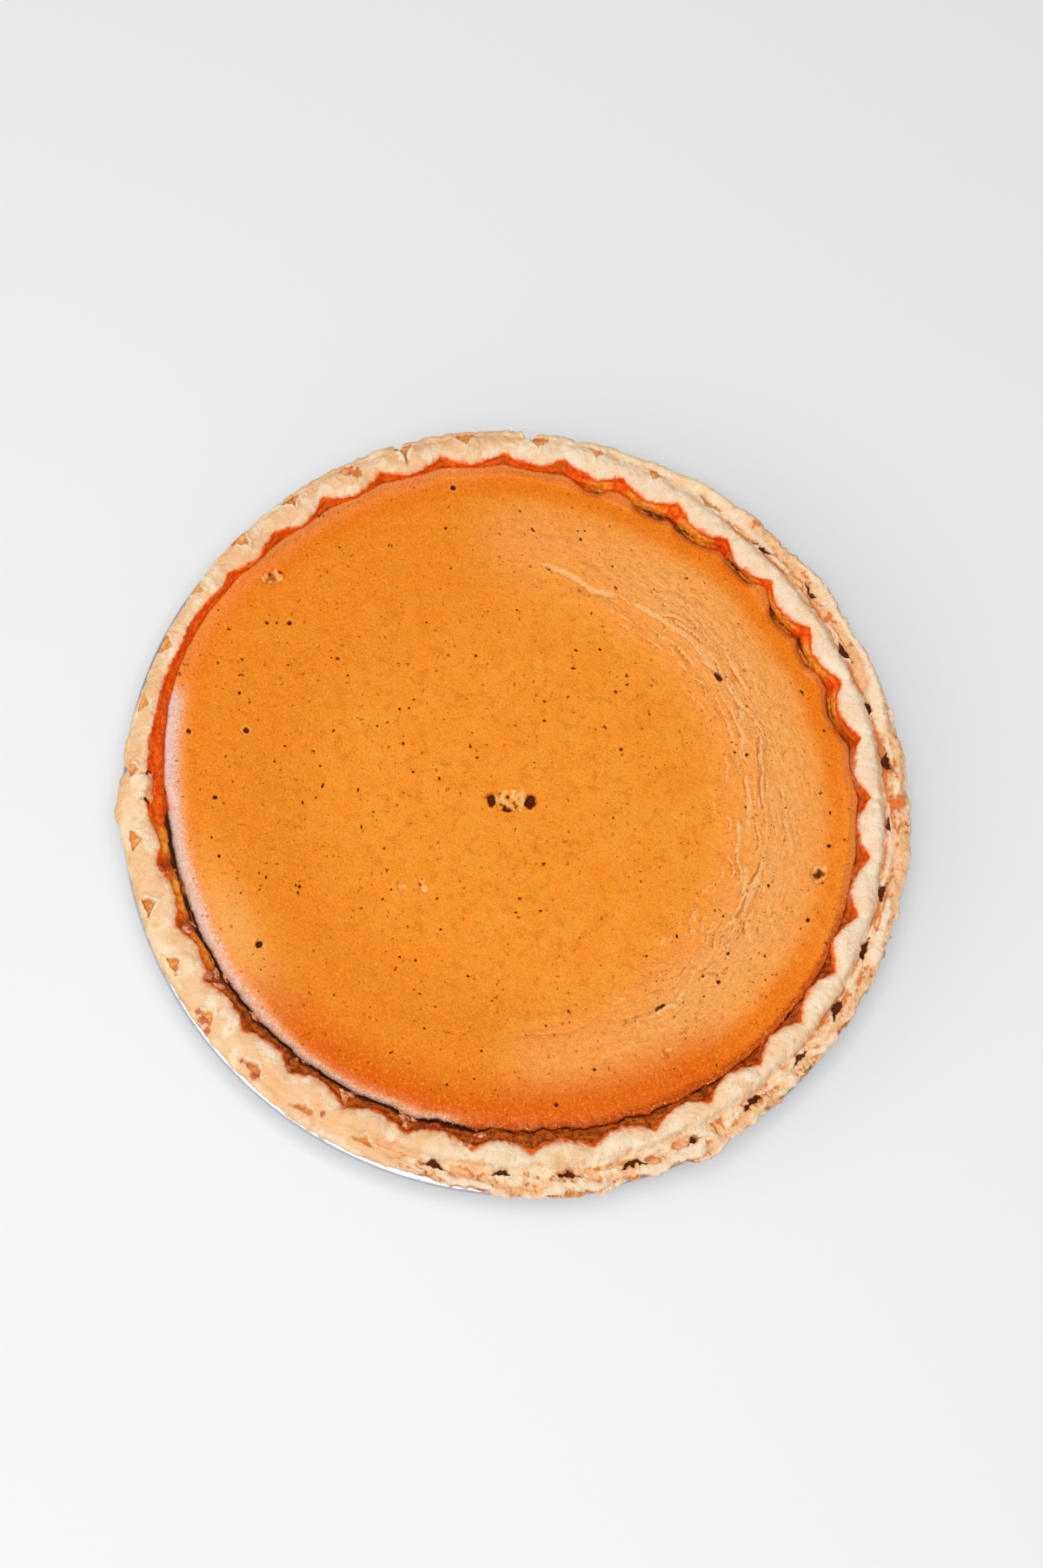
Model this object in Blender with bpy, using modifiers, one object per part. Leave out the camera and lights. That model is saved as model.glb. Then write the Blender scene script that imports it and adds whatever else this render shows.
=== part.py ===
# A whole pumpkin pie baked in its foil tin: the tin, a stamped pastry crust and the set filling.
# Blender 4.5. Lengths are in metres and angles in degrees, anticlockwise from +X seen from above.
# +Z is up, and the origin is on the ground under the middle of the tin.

import math

import bmesh
import bpy
from mathutils import Matrix, Vector, noise

MM = 0.001
GAP = 0.3 * MM  # left between pieces that touch

# Foil tin, of the nine-inch size
TIN_RADIUS = 122.5 * MM  # over the rolled rim
TIN_DEPTH = 30.6 * MM  # ground to the top of the flange
TIN_BASE_RADIUS = 94.6 * MM  # where the wall starts
TIN_MOUTH_RADIUS = 112.0 * MM  # where the wall meets the flange
TIN_WALL = 0.6 * MM  # foil, thick enough to be a solid
TIN_CORNER = 2.8 * MM  # chamfer round the base
FLANGE_CORNER = 1.0 * MM
RIM_ROLL_RADIUS = 1.3 * MM
RIM_ROLL_POINTS = 5
TIN_STEPS = 96
PLEAT_DEPTH = 0.6 * MM  # every second step of the wall stands out by this

# Pastry crust. The press that stamped its rim stood a little off the middle of the tin.
PRESS_CENTRE = Vector((-2.0 * MM, 1.2 * MM, 0))
FLUTES = 36
STEPS_PER_FLUTE = 5
PRESS_TURN = 2.6  # angle of the first cusp between two flutes
SCALLOP_DEPTH = 3.8 * MM  # how far a flute leans in over the filling, past the cusps
PILLOW = 0.7 * MM  # a flute's rise above the cusps
GROOVE = 2.2 * MM  # drop outside the stamped band, on the side where the dough was wider
FLAKE = 0.45 * MM  # unevenness of the torn outer layers there
FLAKE_SIZE = 3 * MM
CRUST_THICKNESS = 3.6 * MM
CRUST_CORNER = 2.0 * MM
CRUST_GAP = 0.9 * MM  # level gap to the tin's sloping wall
CRUST_FLOOR_RADIUS = 87.5 * MM
CRUST_WALL_RADIUS = CRUST_FLOOR_RADIUS + 1.85 * CRUST_CORNER  # foot of its inner wall

# radius and height in mm, then shares from 0 to 1:
# scallop and pillow of the flutes, press centring, groove outside the band, ragged outer edge,
# steeper wall where the filling stands further out
CRUST_RIM = (
    (105.8, 33.0, 0, 0, 1, 0, 0, 1),
    (107.4, 36.2, 0.4, 0, 1, 0, 0, 0.8),
    (112.3, 38.2, 1, 0.3, 1, 0, 0, 0.1),
    (113.9, 39.0, 0.6, 1, 1, 0, 0, 0),
    (115.4, 39.1, 0.2, 1, 1, 0, 0, 0),
    (117.6, 38.3, 0, 0.5, 1, 1, 0, 0),
    (120.3, 37.9, 0, 0.3, 0.35, 0.6, 0.5, 0),
    (122.0, 36.4, 0, 0, 0, 0.3, 1, 0),
    (122.2, 33.2, 0, 0, 0, 0, 1, 0),
    (121.2, 30.9, 0, 0, 0, 0, 0.6, 0),
)
CRUST_SHARES = ("scallop", "pillow", "press", "groove", "edge", "wall")

# Smooth bumps along the rim: angle, half width and height in mm
BAND_BUMPS = ((42, 15, -1.5), (96, 18, 1.4), (160, 24, 1.0), (258, 24, -0.9), (340, 20, 0.7))
# Here the filling stands further out, against a steeper wall
WALL_BUMPS = ((26, 27, 3.2), (110, 22, 2.7), (150, 27, 3.2), (326, 26, 3.0))
EDGE_BUMPS = (
    (0, 6, 0.7),
    (30, 6, 0.6),
    (98, 20, 0.8),
    (145, 18, -1.0),
    (183, 4.5, 1.9),
    (256, 8, -1.4),
    (280, 5, 0.9),
    (298, 5, 0.9),
    (314, 8, -0.8),
    (352, 4, 0.9),
)
RIM_LIFTS = ((181, 3.5, 1.0), (248, 2.5, 0.6))  # a broken flap and a crumbled ridge
GROOVE_SIDE = (238, 410, 18)  # from, to and the length it fades over
FLUTES_FADE = (149, 184, 8)  # the press left no flutes here
FLUTES_LEFT = 0.12  # what is left of them

# Triangular stamp marks, one outside each flute, point inward
MARK_RADIUS = 117.9 * MM
MARK_PRESS = 0.65  # share of the press centring
MARK_WIDTH = (6.4 * MM, 8.4 * MM)  # plain side, groove side
MARK_LENGTH = (3.4 * MM, 2.2 * MM)
MARK_FLOOR = (36.5 * MM, 35.0 * MM)
MARK_TOP = 43.0 * MM
MARK_TAPER = 0.75

# Cracks across the rim: angle, radius, length, width and depth in mm
CRACKS = (
    (108.4, 117.5, 12.0, 2.2, 2.0),
    (88.4, 122.6, 5.0, 4.5, 3.0),
    (176.8, 119.5, 9.0, 1.6, 1.8),
    (356.6, 120.5, 8.0, 1.4, 1.6),
    (1.2, 120.5, 8.0, 1.4, 1.6),
)
CRACK_HEIGHT = 38.4 * MM
CRACK_DROP = 0.8  # share of the groove

# Set filling. A puffed ring stands round a sunken middle.
# radius and height in mm, then the share of the wrinkles at the edge of the sunken middle
FILLING_TOP = (
    (0.0, 33.0, 0),
    (26.0, 33.0, 0),
    (50.0, 33.0, 0),
    (67.0, 33.25, -0.4),
    (71.0, 33.6, 1),
    (73.8, 33.9, -0.7),
    (77.2, 34.2, 0.8),
    (84.0, 34.7, 0),
    (93.0, 34.95, 0),
    (100.0, 34.75, 0),
    (103.6, 34.2, 0),
    (105.3, 33.2, 0),
)
FILLING_SHARES = ("press", "wrinkle")
FILLING_STEPS = 108
WRINKLE = 0.35 * MM
WRINKLE_SIDE = (-80, 85, 20)
UNEVEN = 0.25 * MM  # slow rise and fall of the puffed ring
UNEVEN_SIZE = 35 * MM

# Torn places in the filling: x, y, half length, half width and depth in mm, then turn
TEARS = (
    (-1.7, 1.0, 7.6, 3.9, 1.2, 4),
    (3.9, 0.9, 2.0, 2.7, 3.2, -20),
    (-8.3, 0.9, 1.6, 2.5, 2.8, 10),
    (-3.5, -1.9, 2.2, 1.1, 2.2, 0),
    (-77.8, 70.7, 4.2, 2.4, 1.1, 20),
    (94.6, -20.0, 3.2, 2.8, 1.6, 60),
    (45.3, -78.2, 2.3, 1.5, 1.6, 40),
    (-36.0, -28.3, 1.2, 2.8, 0.8, 22),
    (-29.5, -27.2, 1.3, 3.0, 0.9, 25),
)
BIG_TEAR = 3.0  # half length from which a tear is cut by a rounder ball


def clear_scene():
    for old in list(bpy.data.objects):
        bpy.data.objects.remove(old, do_unlink=True)


def new_collection(name):
    collection = bpy.data.collections.new(name)
    bpy.context.scene.collection.children.link(collection)
    return collection


def new_material(name, color, roughness, metallic=0.0):
    material = bpy.data.materials.new(name)
    material.use_nodes = True
    shader = material.node_tree.nodes["Principled BSDF"]
    shader.inputs["Base Color"].default_value = (*color, 1)
    shader.inputs["Roughness"].default_value = roughness
    shader.inputs["Metallic"].default_value = metallic
    return material


def bumps(angle, table):
    """Height in metres of the table's smooth bumps at an angle."""
    height = 0.0
    for centre, half_width, rise in table:
        away = (angle - centre + 180) % 360 - 180
        height += rise * MM * math.exp(-((away / half_width) ** 2))
    return height


def stretch(angle, start, end, fade):
    """1 from start to end, fading smoothly to 0 outside over that many degrees."""
    middle = (start + end) / 2
    away = abs((angle - middle + 180) % 360 - 180) - (end - start) / 2
    share = min(max(1 - away / fade, 0), 1)
    return share * share * (3 - 2 * share)


def mix(pair, share):
    return pair[0] + (pair[1] - pair[0]) * share


def turned(name, profile, steps, collection, share_names=(), shares=()):
    """A solid turned about Z from a half section that runs over the top and down the outside."""
    mesh = bpy.data.meshes.new(name)
    points = [(radius, 0, height) for radius, height in profile]
    mesh.from_pydata(points, [(i, i + 1) for i in range(len(points) - 1)], [])
    for column, share_name in enumerate(share_names):
        layer = mesh.attributes.new(share_name, "FLOAT", "POINT")
        for i, row in enumerate(shares):
            layer.data[i].value = row[column]
    guide = bpy.data.objects.new(name + "_section", mesh)
    collection.objects.link(guide)
    screw = guide.modifiers.new("turn", "SCREW")
    screw.steps = screw.render_steps = steps
    screw.use_merge_vertices = True
    screw.merge_threshold = 0.01 * MM
    bpy.context.view_layer.update()
    evaluated = guide.evaluated_get(bpy.context.evaluated_depsgraph_get())
    solid = bpy.data.objects.new(name, bpy.data.meshes.new_from_object(evaluated))
    collection.objects.link(solid)
    bpy.data.objects.remove(guide)
    return solid


def ring_place(vertex):
    """Angle in degrees and radius of a vertex about Z."""
    x, y, _ = vertex.co
    return math.degrees(math.atan2(y, x)) % 360, math.hypot(x, y)


def put(vertex, angle, radius, height, press):
    turn = math.radians(angle)
    vertex.co = (
        PRESS_CENTRE.x * press + radius * math.cos(turn),
        PRESS_CENTRE.y * press + radius * math.sin(turn),
        height,
    )


def share_of(mesh, name):
    return [item.value for item in mesh.attributes[name].data]


def finish(solid, material):
    for name in CRUST_SHARES + FILLING_SHARES:
        if name in solid.data.attributes:
            solid.data.attributes.remove(solid.data.attributes[name])
    solid.data.materials.clear()
    solid.data.materials.append(material)
    solid.data.shade_smooth()
    solid.data.set_sharp_from_angle(angle=math.radians(40))


def in_metres(rows):
    return [(row[0] * MM, row[1] * MM) for row in rows]


def tin_profile():
    """Half section of the tin, from the middle of its floor over the rolled rim to under its base."""
    inner = [
        (0, TIN_WALL),
        (TIN_BASE_RADIUS - TIN_CORNER, TIN_WALL),
        (TIN_BASE_RADIUS, TIN_WALL + TIN_CORNER * 0.6),
        (TIN_MOUTH_RADIUS, TIN_DEPTH - FLANGE_CORNER),
        (TIN_MOUTH_RADIUS + FLANGE_CORNER, TIN_DEPTH),
    ]
    roll_radius = TIN_RADIUS - RIM_ROLL_RADIUS
    roll_height = TIN_DEPTH - RIM_ROLL_RADIUS
    roll = []
    for i in range(RIM_ROLL_POINTS):
        turn = math.radians(90 - 210 * i / (RIM_ROLL_POINTS - 1))
        roll.append(
            (
                roll_radius + RIM_ROLL_RADIUS * math.cos(turn),
                roll_height + RIM_ROLL_RADIUS * math.sin(turn),
            )
        )
    outer = [
        (roll_radius - RIM_ROLL_RADIUS, TIN_DEPTH - TIN_WALL),
        (TIN_MOUTH_RADIUS + FLANGE_CORNER + TIN_WALL / 2, TIN_DEPTH - TIN_WALL),
        (TIN_MOUTH_RADIUS + TIN_WALL, TIN_DEPTH - FLANGE_CORNER - TIN_WALL / 2),
        (TIN_BASE_RADIUS + TIN_WALL, TIN_CORNER * 0.6),
        (TIN_BASE_RADIUS - TIN_CORNER + TIN_WALL, 0),
        (0, 0),
    ]
    return inner + roll + outer


def make_tin(collection):
    tin = turned("pie_tin", tin_profile(), TIN_STEPS, collection)
    lowest = TIN_CORNER * 0.5
    highest = TIN_DEPTH - FLANGE_CORNER * 0.9
    for vertex in tin.data.vertices:
        angle, radius = ring_place(vertex)
        step = round(angle / 360 * TIN_STEPS)
        on_wall = radius < TIN_MOUTH_RADIUS + 2 * TIN_WALL and lowest < vertex.co.z < highest
        if on_wall and step % 2:
            put(vertex, angle, radius + PLEAT_DEPTH, vertex.co.z, 0)
    finish(tin, new_material("foil", (0.78, 0.79, 0.8), 0.3, 1.0))


def crust_section():
    """Half section of the crust and the shares of its points. What the tin and the filling hide is plain."""
    bottom = TIN_WALL + GAP
    floor = bottom + CRUST_THICKNESS
    inside = [
        (0, floor),
        (CRUST_FLOOR_RADIUS, floor),
        (CRUST_WALL_RADIUS, floor + CRUST_CORNER),
    ]
    outside = [
        (TIN_MOUTH_RADIUS + FLANGE_CORNER / 2, TIN_DEPTH + GAP),
        (TIN_MOUTH_RADIUS - CRUST_GAP, TIN_DEPTH - FLANGE_CORNER + GAP),
        (TIN_BASE_RADIUS - CRUST_GAP, TIN_WALL + TIN_CORNER * 0.65),
        (TIN_BASE_RADIUS - TIN_CORNER - GAP, bottom),
        (0, bottom),
    ]
    plain = (0,) * len(CRUST_SHARES)
    shares = [plain] * len(inside) + [row[2:] for row in CRUST_RIM] + [plain] * len(outside)
    return inside + in_metres(CRUST_RIM) + outside, shares


def make_crust(collection, cutters):
    profile, shares = crust_section()
    crust = turned("crust", profile, FLUTES * STEPS_PER_FLUTE, collection, CRUST_SHARES, shares)
    crust.data.transform(Matrix.Rotation(math.radians(PRESS_TURN), 4, "Z"))
    columns = [share_of(crust.data, name) for name in CRUST_SHARES]
    for vertex, scallop, pillow, press, groove, edge, wall in zip(crust.data.vertices, *columns):
        angle, radius = ring_place(vertex)
        flutes = 1 - (1 - FLUTES_LEFT) * stretch(angle, *FLUTES_FADE)
        lobe = flutes * abs(math.sin(math.radians((angle - PRESS_TURN) * FLUTES / 2)))
        dropped = groove * stretch(angle, *GROOVE_SIDE)
        ragged = noise.noise(vertex.co / FLAKE_SIZE) * FLAKE * edge
        radius += bumps(angle, BAND_BUMPS) * press + bumps(angle, EDGE_BUMPS) * edge
        radius += bumps(angle, WALL_BUMPS) * wall + ragged - SCALLOP_DEPTH * lobe * scallop
        height = vertex.co.z + PILLOW * lobe * pillow - GROOVE * dropped
        height += bumps(angle, RIM_LIFTS) * max(pillow, groove) + ragged * dropped
        put(vertex, angle, radius, height, press)
    for i in range(FLUTES):
        cut_mark(PRESS_TURN + (i + 0.5) * 360 / FLUTES, i, cutters)
    for i, crack in enumerate(CRACKS):
        cut_crack(crack, i, cutters)
    cut_by(crust, cutters)
    finish(crust, new_material("pastry", (0.84, 0.6, 0.38), 0.75))


def filling_section():
    """Half section of the filling, which fills the crust, and the shares of its points."""
    bottom = TIN_WALL + GAP + CRUST_THICKNESS + GAP
    hidden = [
        (CRUST_WALL_RADIUS - GAP, bottom + CRUST_CORNER),
        (CRUST_FLOOR_RADIUS - GAP, bottom),
        (0, bottom),
    ]
    shares = [(1, row[2]) for row in FILLING_TOP] + [(0, 0)] * len(hidden)
    return in_metres(FILLING_TOP) + hidden, shares


def make_filling(collection, cutters):
    profile, shares = filling_section()
    edge_radius = FILLING_TOP[-1][0] * MM
    filling = turned("filling", profile, FILLING_STEPS, collection, FILLING_SHARES, shares)
    columns = [share_of(filling.data, name) for name in FILLING_SHARES]
    for vertex, press, wrinkle in zip(filling.data.vertices, *columns):
        angle, radius = ring_place(vertex)
        out = radius / edge_radius
        height = vertex.co.z + WRINKLE * wrinkle * stretch(angle, *WRINKLE_SIDE)
        height += UNEVEN * press * noise.noise(vertex.co / UNEVEN_SIZE) * out * (1 - out**6)
        radius += (bumps(angle, BAND_BUMPS) + bumps(angle, WALL_BUMPS)) * press * out**4
        put(vertex, angle, radius, height, press)
    for i, tear in enumerate(TEARS):
        cut_tear(tear, i, cutters)
    cut_by(filling, cutters)
    finish(filling, new_material("custard", (0.8, 0.28, 0.035), 0.5))


def cutter(name, shape, collection):
    mesh = bpy.data.meshes.new(name)
    shape.to_mesh(mesh)
    shape.free()
    solid = bpy.data.objects.new(name, mesh)
    solid.hide_render = True
    solid.display_type = "WIRE"
    collection.objects.link(solid)


def cut_mark(angle, number, collection):
    """A three-sided prism outside one flute, its point towards the middle of the pie."""
    side = stretch(angle, *GROOVE_SIDE)
    floor = mix(MARK_FLOOR, side)
    radius = MARK_RADIUS + bumps(angle, BAND_BUMPS)
    centre = PRESS_CENTRE * MARK_PRESS + Vector((0, 0, (floor + MARK_TOP) / 2))
    size = Matrix.Diagonal((mix(MARK_LENGTH, side) / 1.5, mix(MARK_WIDTH, side) / math.sqrt(3), 1, 1))
    place = (
        Matrix.Translation(centre)
        @ Matrix.Rotation(math.radians(angle), 4, "Z")
        @ Matrix.Translation((radius, 0, 0))
        @ size
        @ Matrix.Rotation(math.radians(90), 4, "Z")
    )
    shape = bmesh.new()
    bmesh.ops.create_cone(
        shape,
        cap_ends=True,
        segments=3,
        radius1=MARK_TAPER,
        radius2=1 + (1 - MARK_TAPER),
        depth=MARK_TOP - floor,
        matrix=place,
    )
    cutter(f"mark_{number:02d}", shape, collection)


def cut_crack(crack, number, collection):
    """A V groove that runs outwards across the rim."""
    angle, radius, length, width, depth = crack
    height = CRACK_HEIGHT - GROOVE * CRACK_DROP * stretch(angle, *GROOVE_SIDE)
    place = (
        Matrix.Rotation(math.radians(angle), 4, "Z")
        @ Matrix.Translation((radius * MM, 0, height))
        @ Matrix.Diagonal((length * MM, width * MM / math.sqrt(2), depth * MM * math.sqrt(2), 1))
        @ Matrix.Rotation(math.radians(45), 4, "X")
    )
    shape = bmesh.new()
    bmesh.ops.create_cube(shape, size=1, matrix=place)
    cutter(f"crack_{number}", shape, collection)


def cut_tear(tear, number, collection):
    """A shallow bowl with its middle in the filling's face."""
    x, y, half_length, half_width, depth, turn = tear
    radius = math.hypot(x - PRESS_CENTRE.x / MM, y - PRESS_CENTRE.y / MM)
    height = surface_height(radius) * MM
    place = (
        Matrix.Translation((x * MM, y * MM, height))
        @ Matrix.Rotation(math.radians(turn), 4, "Z")
        @ Matrix.Diagonal((half_length * MM, half_width * MM, depth * MM, 1))
    )
    shape = bmesh.new()
    rounds = 2 if half_length >= BIG_TEAR else 1
    bmesh.ops.create_icosphere(shape, subdivisions=rounds, radius=1, matrix=place)
    cutter(f"tear_{number}", shape, collection)


def surface_height(radius):
    """Height in mm of the filling's section at a radius in mm."""
    for (r0, z0, _), (r1, z1, _) in zip(FILLING_TOP, FILLING_TOP[1:]):
        if r0 <= radius <= r1:
            return z0 + (z1 - z0) * (radius - r0) / (r1 - r0)
    return FILLING_TOP[0][1]


def cut_by(solid, cutters):
    cut = solid.modifiers.new("cut", "BOOLEAN")
    cut.operation = "DIFFERENCE"
    cut.operand_type = "COLLECTION"
    cut.collection = cutters
    cut.solver = "EXACT"


def main():
    clear_scene()
    pie = new_collection("pumpkin_pie")
    make_tin(pie)
    make_crust(pie, new_collection("crust_cutters"))
    make_filling(pie, new_collection("filling_cutters"))


main()
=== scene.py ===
import math

import bpy
import numpy as np
from mathutils import Matrix, Vector
from mathutils.geometry import delaunay_2d_cdt


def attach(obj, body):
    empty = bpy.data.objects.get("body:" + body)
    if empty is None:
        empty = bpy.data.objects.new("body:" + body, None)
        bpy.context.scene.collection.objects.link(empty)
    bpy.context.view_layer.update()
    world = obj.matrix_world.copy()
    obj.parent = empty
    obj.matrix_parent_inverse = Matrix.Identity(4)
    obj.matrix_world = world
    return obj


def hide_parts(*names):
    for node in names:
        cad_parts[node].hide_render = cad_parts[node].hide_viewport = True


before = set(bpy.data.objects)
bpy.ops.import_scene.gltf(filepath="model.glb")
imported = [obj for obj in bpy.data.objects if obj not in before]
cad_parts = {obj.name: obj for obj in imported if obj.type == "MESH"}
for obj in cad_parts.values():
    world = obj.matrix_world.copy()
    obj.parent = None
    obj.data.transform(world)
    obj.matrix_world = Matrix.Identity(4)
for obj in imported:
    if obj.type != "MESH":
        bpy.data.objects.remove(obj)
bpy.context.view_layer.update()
scene = bpy.context.scene
mm = 0.001  # forms below are in mm and degrees, anticlockwise from +X seen from above
ringRadius = 115.0  # about the middle of the rim, for lengths round the pie
print("pumpkin pie: frame loaded")


# Small maths shared by all pieces

def ramp(value, low, high):
    share = np.clip((value - low) / (high - low), 0, 1)
    return share * share * (3 - 2 * share)


def bell(value, width):
    return np.exp(-((value / width) ** 2))


def bumps(angle, table):  # smooth bumps: angle, half width, height
    rise = np.zeros_like(angle)
    for centre, halfWidth, height in table:
        rise += height * bell((angle - centre + 180) % 360 - 180, halfWidth)
    return rise


def stretch(angle, start, end, fade):  # 1 from start to end, fading out over some degrees
    away = np.abs((angle - (start + end) / 2 + 180) % 360 - 180) - (end - start) / 2
    return 1 - ramp(away, 0, fade)


def curveThrough(x, xs, ys):  # smooth curve through a few points
    xs = np.asarray(xs, float)
    ys = np.asarray(ys, float)
    slopes = np.gradient(ys, xs)
    i = np.clip(np.searchsorted(xs, x) - 1, 0, len(xs) - 2)
    width = xs[i + 1] - xs[i]
    f = np.clip((x - xs[i]) / width, 0, 1)
    start = ys[i] * (1 + 2 * f) * (1 - f) ** 2 + ys[i + 1] * f * f * (3 - 2 * f)
    return start + width * f * (1 - f) * (slopes[i] * (1 - f) - slopes[i + 1] * f)


def cornerPull(i, j, dx, dy, seed, around):
    i = i % around if around else i
    n = (i * 374761393 + j * 668265263 + seed * 982451653) & 0xFFFFFFFF
    n = ((n ^ (n >> 13)) * 1274126177) & 0xFFFFFFFF
    turn = (n ^ (n >> 16)) * (2 * math.pi / 2**32)
    return np.cos(turn) * dx + np.sin(turn) * dy


def noiseAt(x, y, seed, around=0):  # soft noise of patch size 1, about -1 to 1
    i = np.floor(x).astype(np.int64)
    j = np.floor(y).astype(np.int64)
    dx = x - i
    dy = y - j
    sx = dx * dx * dx * (dx * (dx * 6 - 15) + 10)
    sy = dy * dy * dy * (dy * (dy * 6 - 15) + 10)
    low = cornerPull(i, j, dx, dy, seed, around) * (1 - sx)
    low += cornerPull(i + 1, j, dx - 1, dy, seed, around) * sx
    high = cornerPull(i, j + 1, dx, dy - 1, seed, around) * (1 - sx)
    high += cornerPull(i + 1, j + 1, dx - 1, dy - 1, seed, around) * sx
    return 1.5 * (low * (1 - sy) + high * sy)


def ringNoise(angle, across, long, wide, seed):  # patches that are long round the pie
    around = round(2 * math.pi * ringRadius / long)
    return noiseAt(angle / 360 * around, across / wide, seed, around)


def nearLine(x, y, points, reach):  # distance to a line, positive outside it, and the share along
    distance = np.full(x.shape, reach * 9.0)
    along = np.zeros_like(x)
    px = [p[0] for p in points]
    py = [p[1] for p in points]
    near = (x > min(px) - reach) & (x < max(px) + reach) & (y > min(py) - reach) & (y < max(py) + reach)
    nx = x[near]
    ny = y[near]
    best = np.full(nx.shape, reach * 9.0)
    side = np.ones_like(nx)
    share = np.zeros_like(nx)
    lengths = np.hypot(np.diff(px), np.diff(py))
    walked = 0
    for (ax, ay), (bx, by), length in zip(points, points[1:], lengths):
        f = np.clip(((nx - ax) * (bx - ax) + (ny - ay) * (by - ay)) / length**2, 0, 1)
        qx = ax + f * (bx - ax)
        qy = ay + f * (by - ay)
        away = np.hypot(nx - qx, ny - qy)
        closer = away < best
        best = np.where(closer, away, best)
        side = np.where(closer, np.sign(np.hypot(nx, ny) - np.hypot(qx, qy)), side)
        share = np.where(closer, (walked + f * length) / lengths.sum(), share)
        walked += length
    distance[near] = best * np.where(side == 0, 1, side)
    along[near] = share
    return distance, along


# Meshes with more points where there is more to show

def hexPoints(width, height, spacing, finest):  # nested triangle lattices: x, y and each point's level
    step = spacing / 2**finest
    rowStep = step * math.sqrt(3) / 2
    rows = int(height / rowStep + 0.5) + 1
    i, j = np.meshgrid(np.arange(round(width / step)), np.arange(rows))
    level = np.full(i.shape, finest)
    for up in range(1, finest + 1):
        k = 2**up
        on = (j % k == 0) & ((i - (j // k % 2) * k // 2) % k == 0)
        level[on] = finest - up
    return ((i + (j % 2) / 2) * step).ravel(), (j * rowStep).ravel(), level.ravel()


def scatterAside(x, y, level, spacing, share, seed):  # breaks the lattice's regular look
    rng = np.random.default_rng(seed)
    size = spacing / 2.0**level * share
    return x + rng.uniform(-1, 1, x.shape) * size, y + rng.uniform(-1, 1, x.shape) * size


def trianglesOf(x, y):
    points = [Vector((a, b)) for a, b in zip(x.tolist(), y.tolist())]
    found = delaunay_2d_cdt(points, [], [], 0, 1e-7)
    return np.array([face for face in found[2] if len(face) == 3], int)


def makeObject(name, points, faces, masks, material):
    mesh = bpy.data.meshes.new(name)
    mesh.from_pydata((points * mm).tolist(), [], faces.tolist())
    for key, values in masks.items():
        layer = mesh.attributes.new(key, "FLOAT", "POINT")
        layer.data.foreach_set("value", values.astype(np.float32))
    mesh.materials.append(material)
    mesh.shade_smooth()
    piece = bpy.data.objects.new(name, mesh)
    scene.collection.objects.link(piece)
    return piece


def padded(masks, count):  # masks are 0 on the points that close a piece
    return {key: np.pad(values, (0, count - len(values))) for key, values in masks.items()}


def ringFaces(lower, upper):  # quads between two rings of the same number of points
    lowerNext = np.roll(lower, -1)
    upperNext = np.roll(upper, -1)
    one = np.stack([lower, lowerNext, upperNext], 1)
    two = np.stack([lower, upperNext, upper], 1)
    return np.concatenate([one, two])


def fanFaces(ring, centre):
    return np.stack([ring, np.roll(ring, -1), np.full_like(ring, centre)], 1)


# Shader helpers

def paint(red, green, blue):  # a colour as seen on a screen, 0 to 255
    values = [v / 255 for v in (red, green, blue)]
    return (*[v / 12.92 if v < 0.04045 else ((v + 0.055) / 1.055) ** 2.4 for v in values], 1)


def feed(tree, node, inputs):  # a socket is linked, and anything else is set as a value
    for key, value in inputs.items():
        if isinstance(value, bpy.types.NodeSocket):
            tree.links.new(value, node.inputs[key])
        else:
            node.inputs[key].default_value = value


def add(tree, kind, inputs=None, **settings):
    made = tree.nodes.new(kind)
    for key, value in settings.items():
        setattr(made, key, value)
    feed(tree, made, inputs or {})
    return made


def calc(tree, operation, *values, clamp=False):
    inputs = dict(enumerate(values))
    return add(tree, "ShaderNodeMath", inputs, operation=operation, use_clamp=clamp).outputs[0]


def times(tree, first, second):
    return calc(tree, "MULTIPLY", first, second)


def plus(tree, first, second):
    return calc(tree, "ADD", first, second)


def vectorCalc(tree, operation, *values):
    made = add(tree, "ShaderNodeVectorMath", dict(enumerate(values)), operation=operation)
    return made.outputs["Value" if operation == "LENGTH" else "Vector"]


def scaledVector(tree, vector, amount):
    inputs = {0: vector, "Scale": amount}
    return add(tree, "ShaderNodeVectorMath", inputs, operation="SCALE").outputs[0]


def shake(tree, place, scale, amount):  # a small offset that changes from place to place
    inputs = {"Vector": place, "Scale": scale, "Detail": 2.0}
    noise = add(tree, "ShaderNodeTexNoise", inputs).outputs["Color"]
    return scaledVector(tree, vectorCalc(tree, "SUBTRACT", noise, (0.5, 0.5, 0.5)), amount)


def blend(tree, share, first, second, how="MIX"):
    made = add(tree, "ShaderNodeMix", {0: share, 6: first, 7: second}, data_type="RGBA", blend_type=how)
    return made.outputs[2]


def softStep(tree, value, low, high):
    inputs = {0: value, 1: low, 2: high, 3: 0.0, 4: 1.0}
    return add(tree, "ShaderNodeMapRange", inputs, interpolation_type="SMOOTHSTEP").outputs[0]


def mask(tree, name):
    return add(tree, "ShaderNodeAttribute", attribute_name=name).outputs["Fac"]


def noiseNode(tree, place, size, detail=2.0, rough=0.5):  # size in mm
    inputs = {"Vector": place, "Scale": 1 / (size * mm), "Detail": detail, "Roughness": rough}
    return add(tree, "ShaderNodeTexNoise", inputs).outputs["Fac"]


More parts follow.
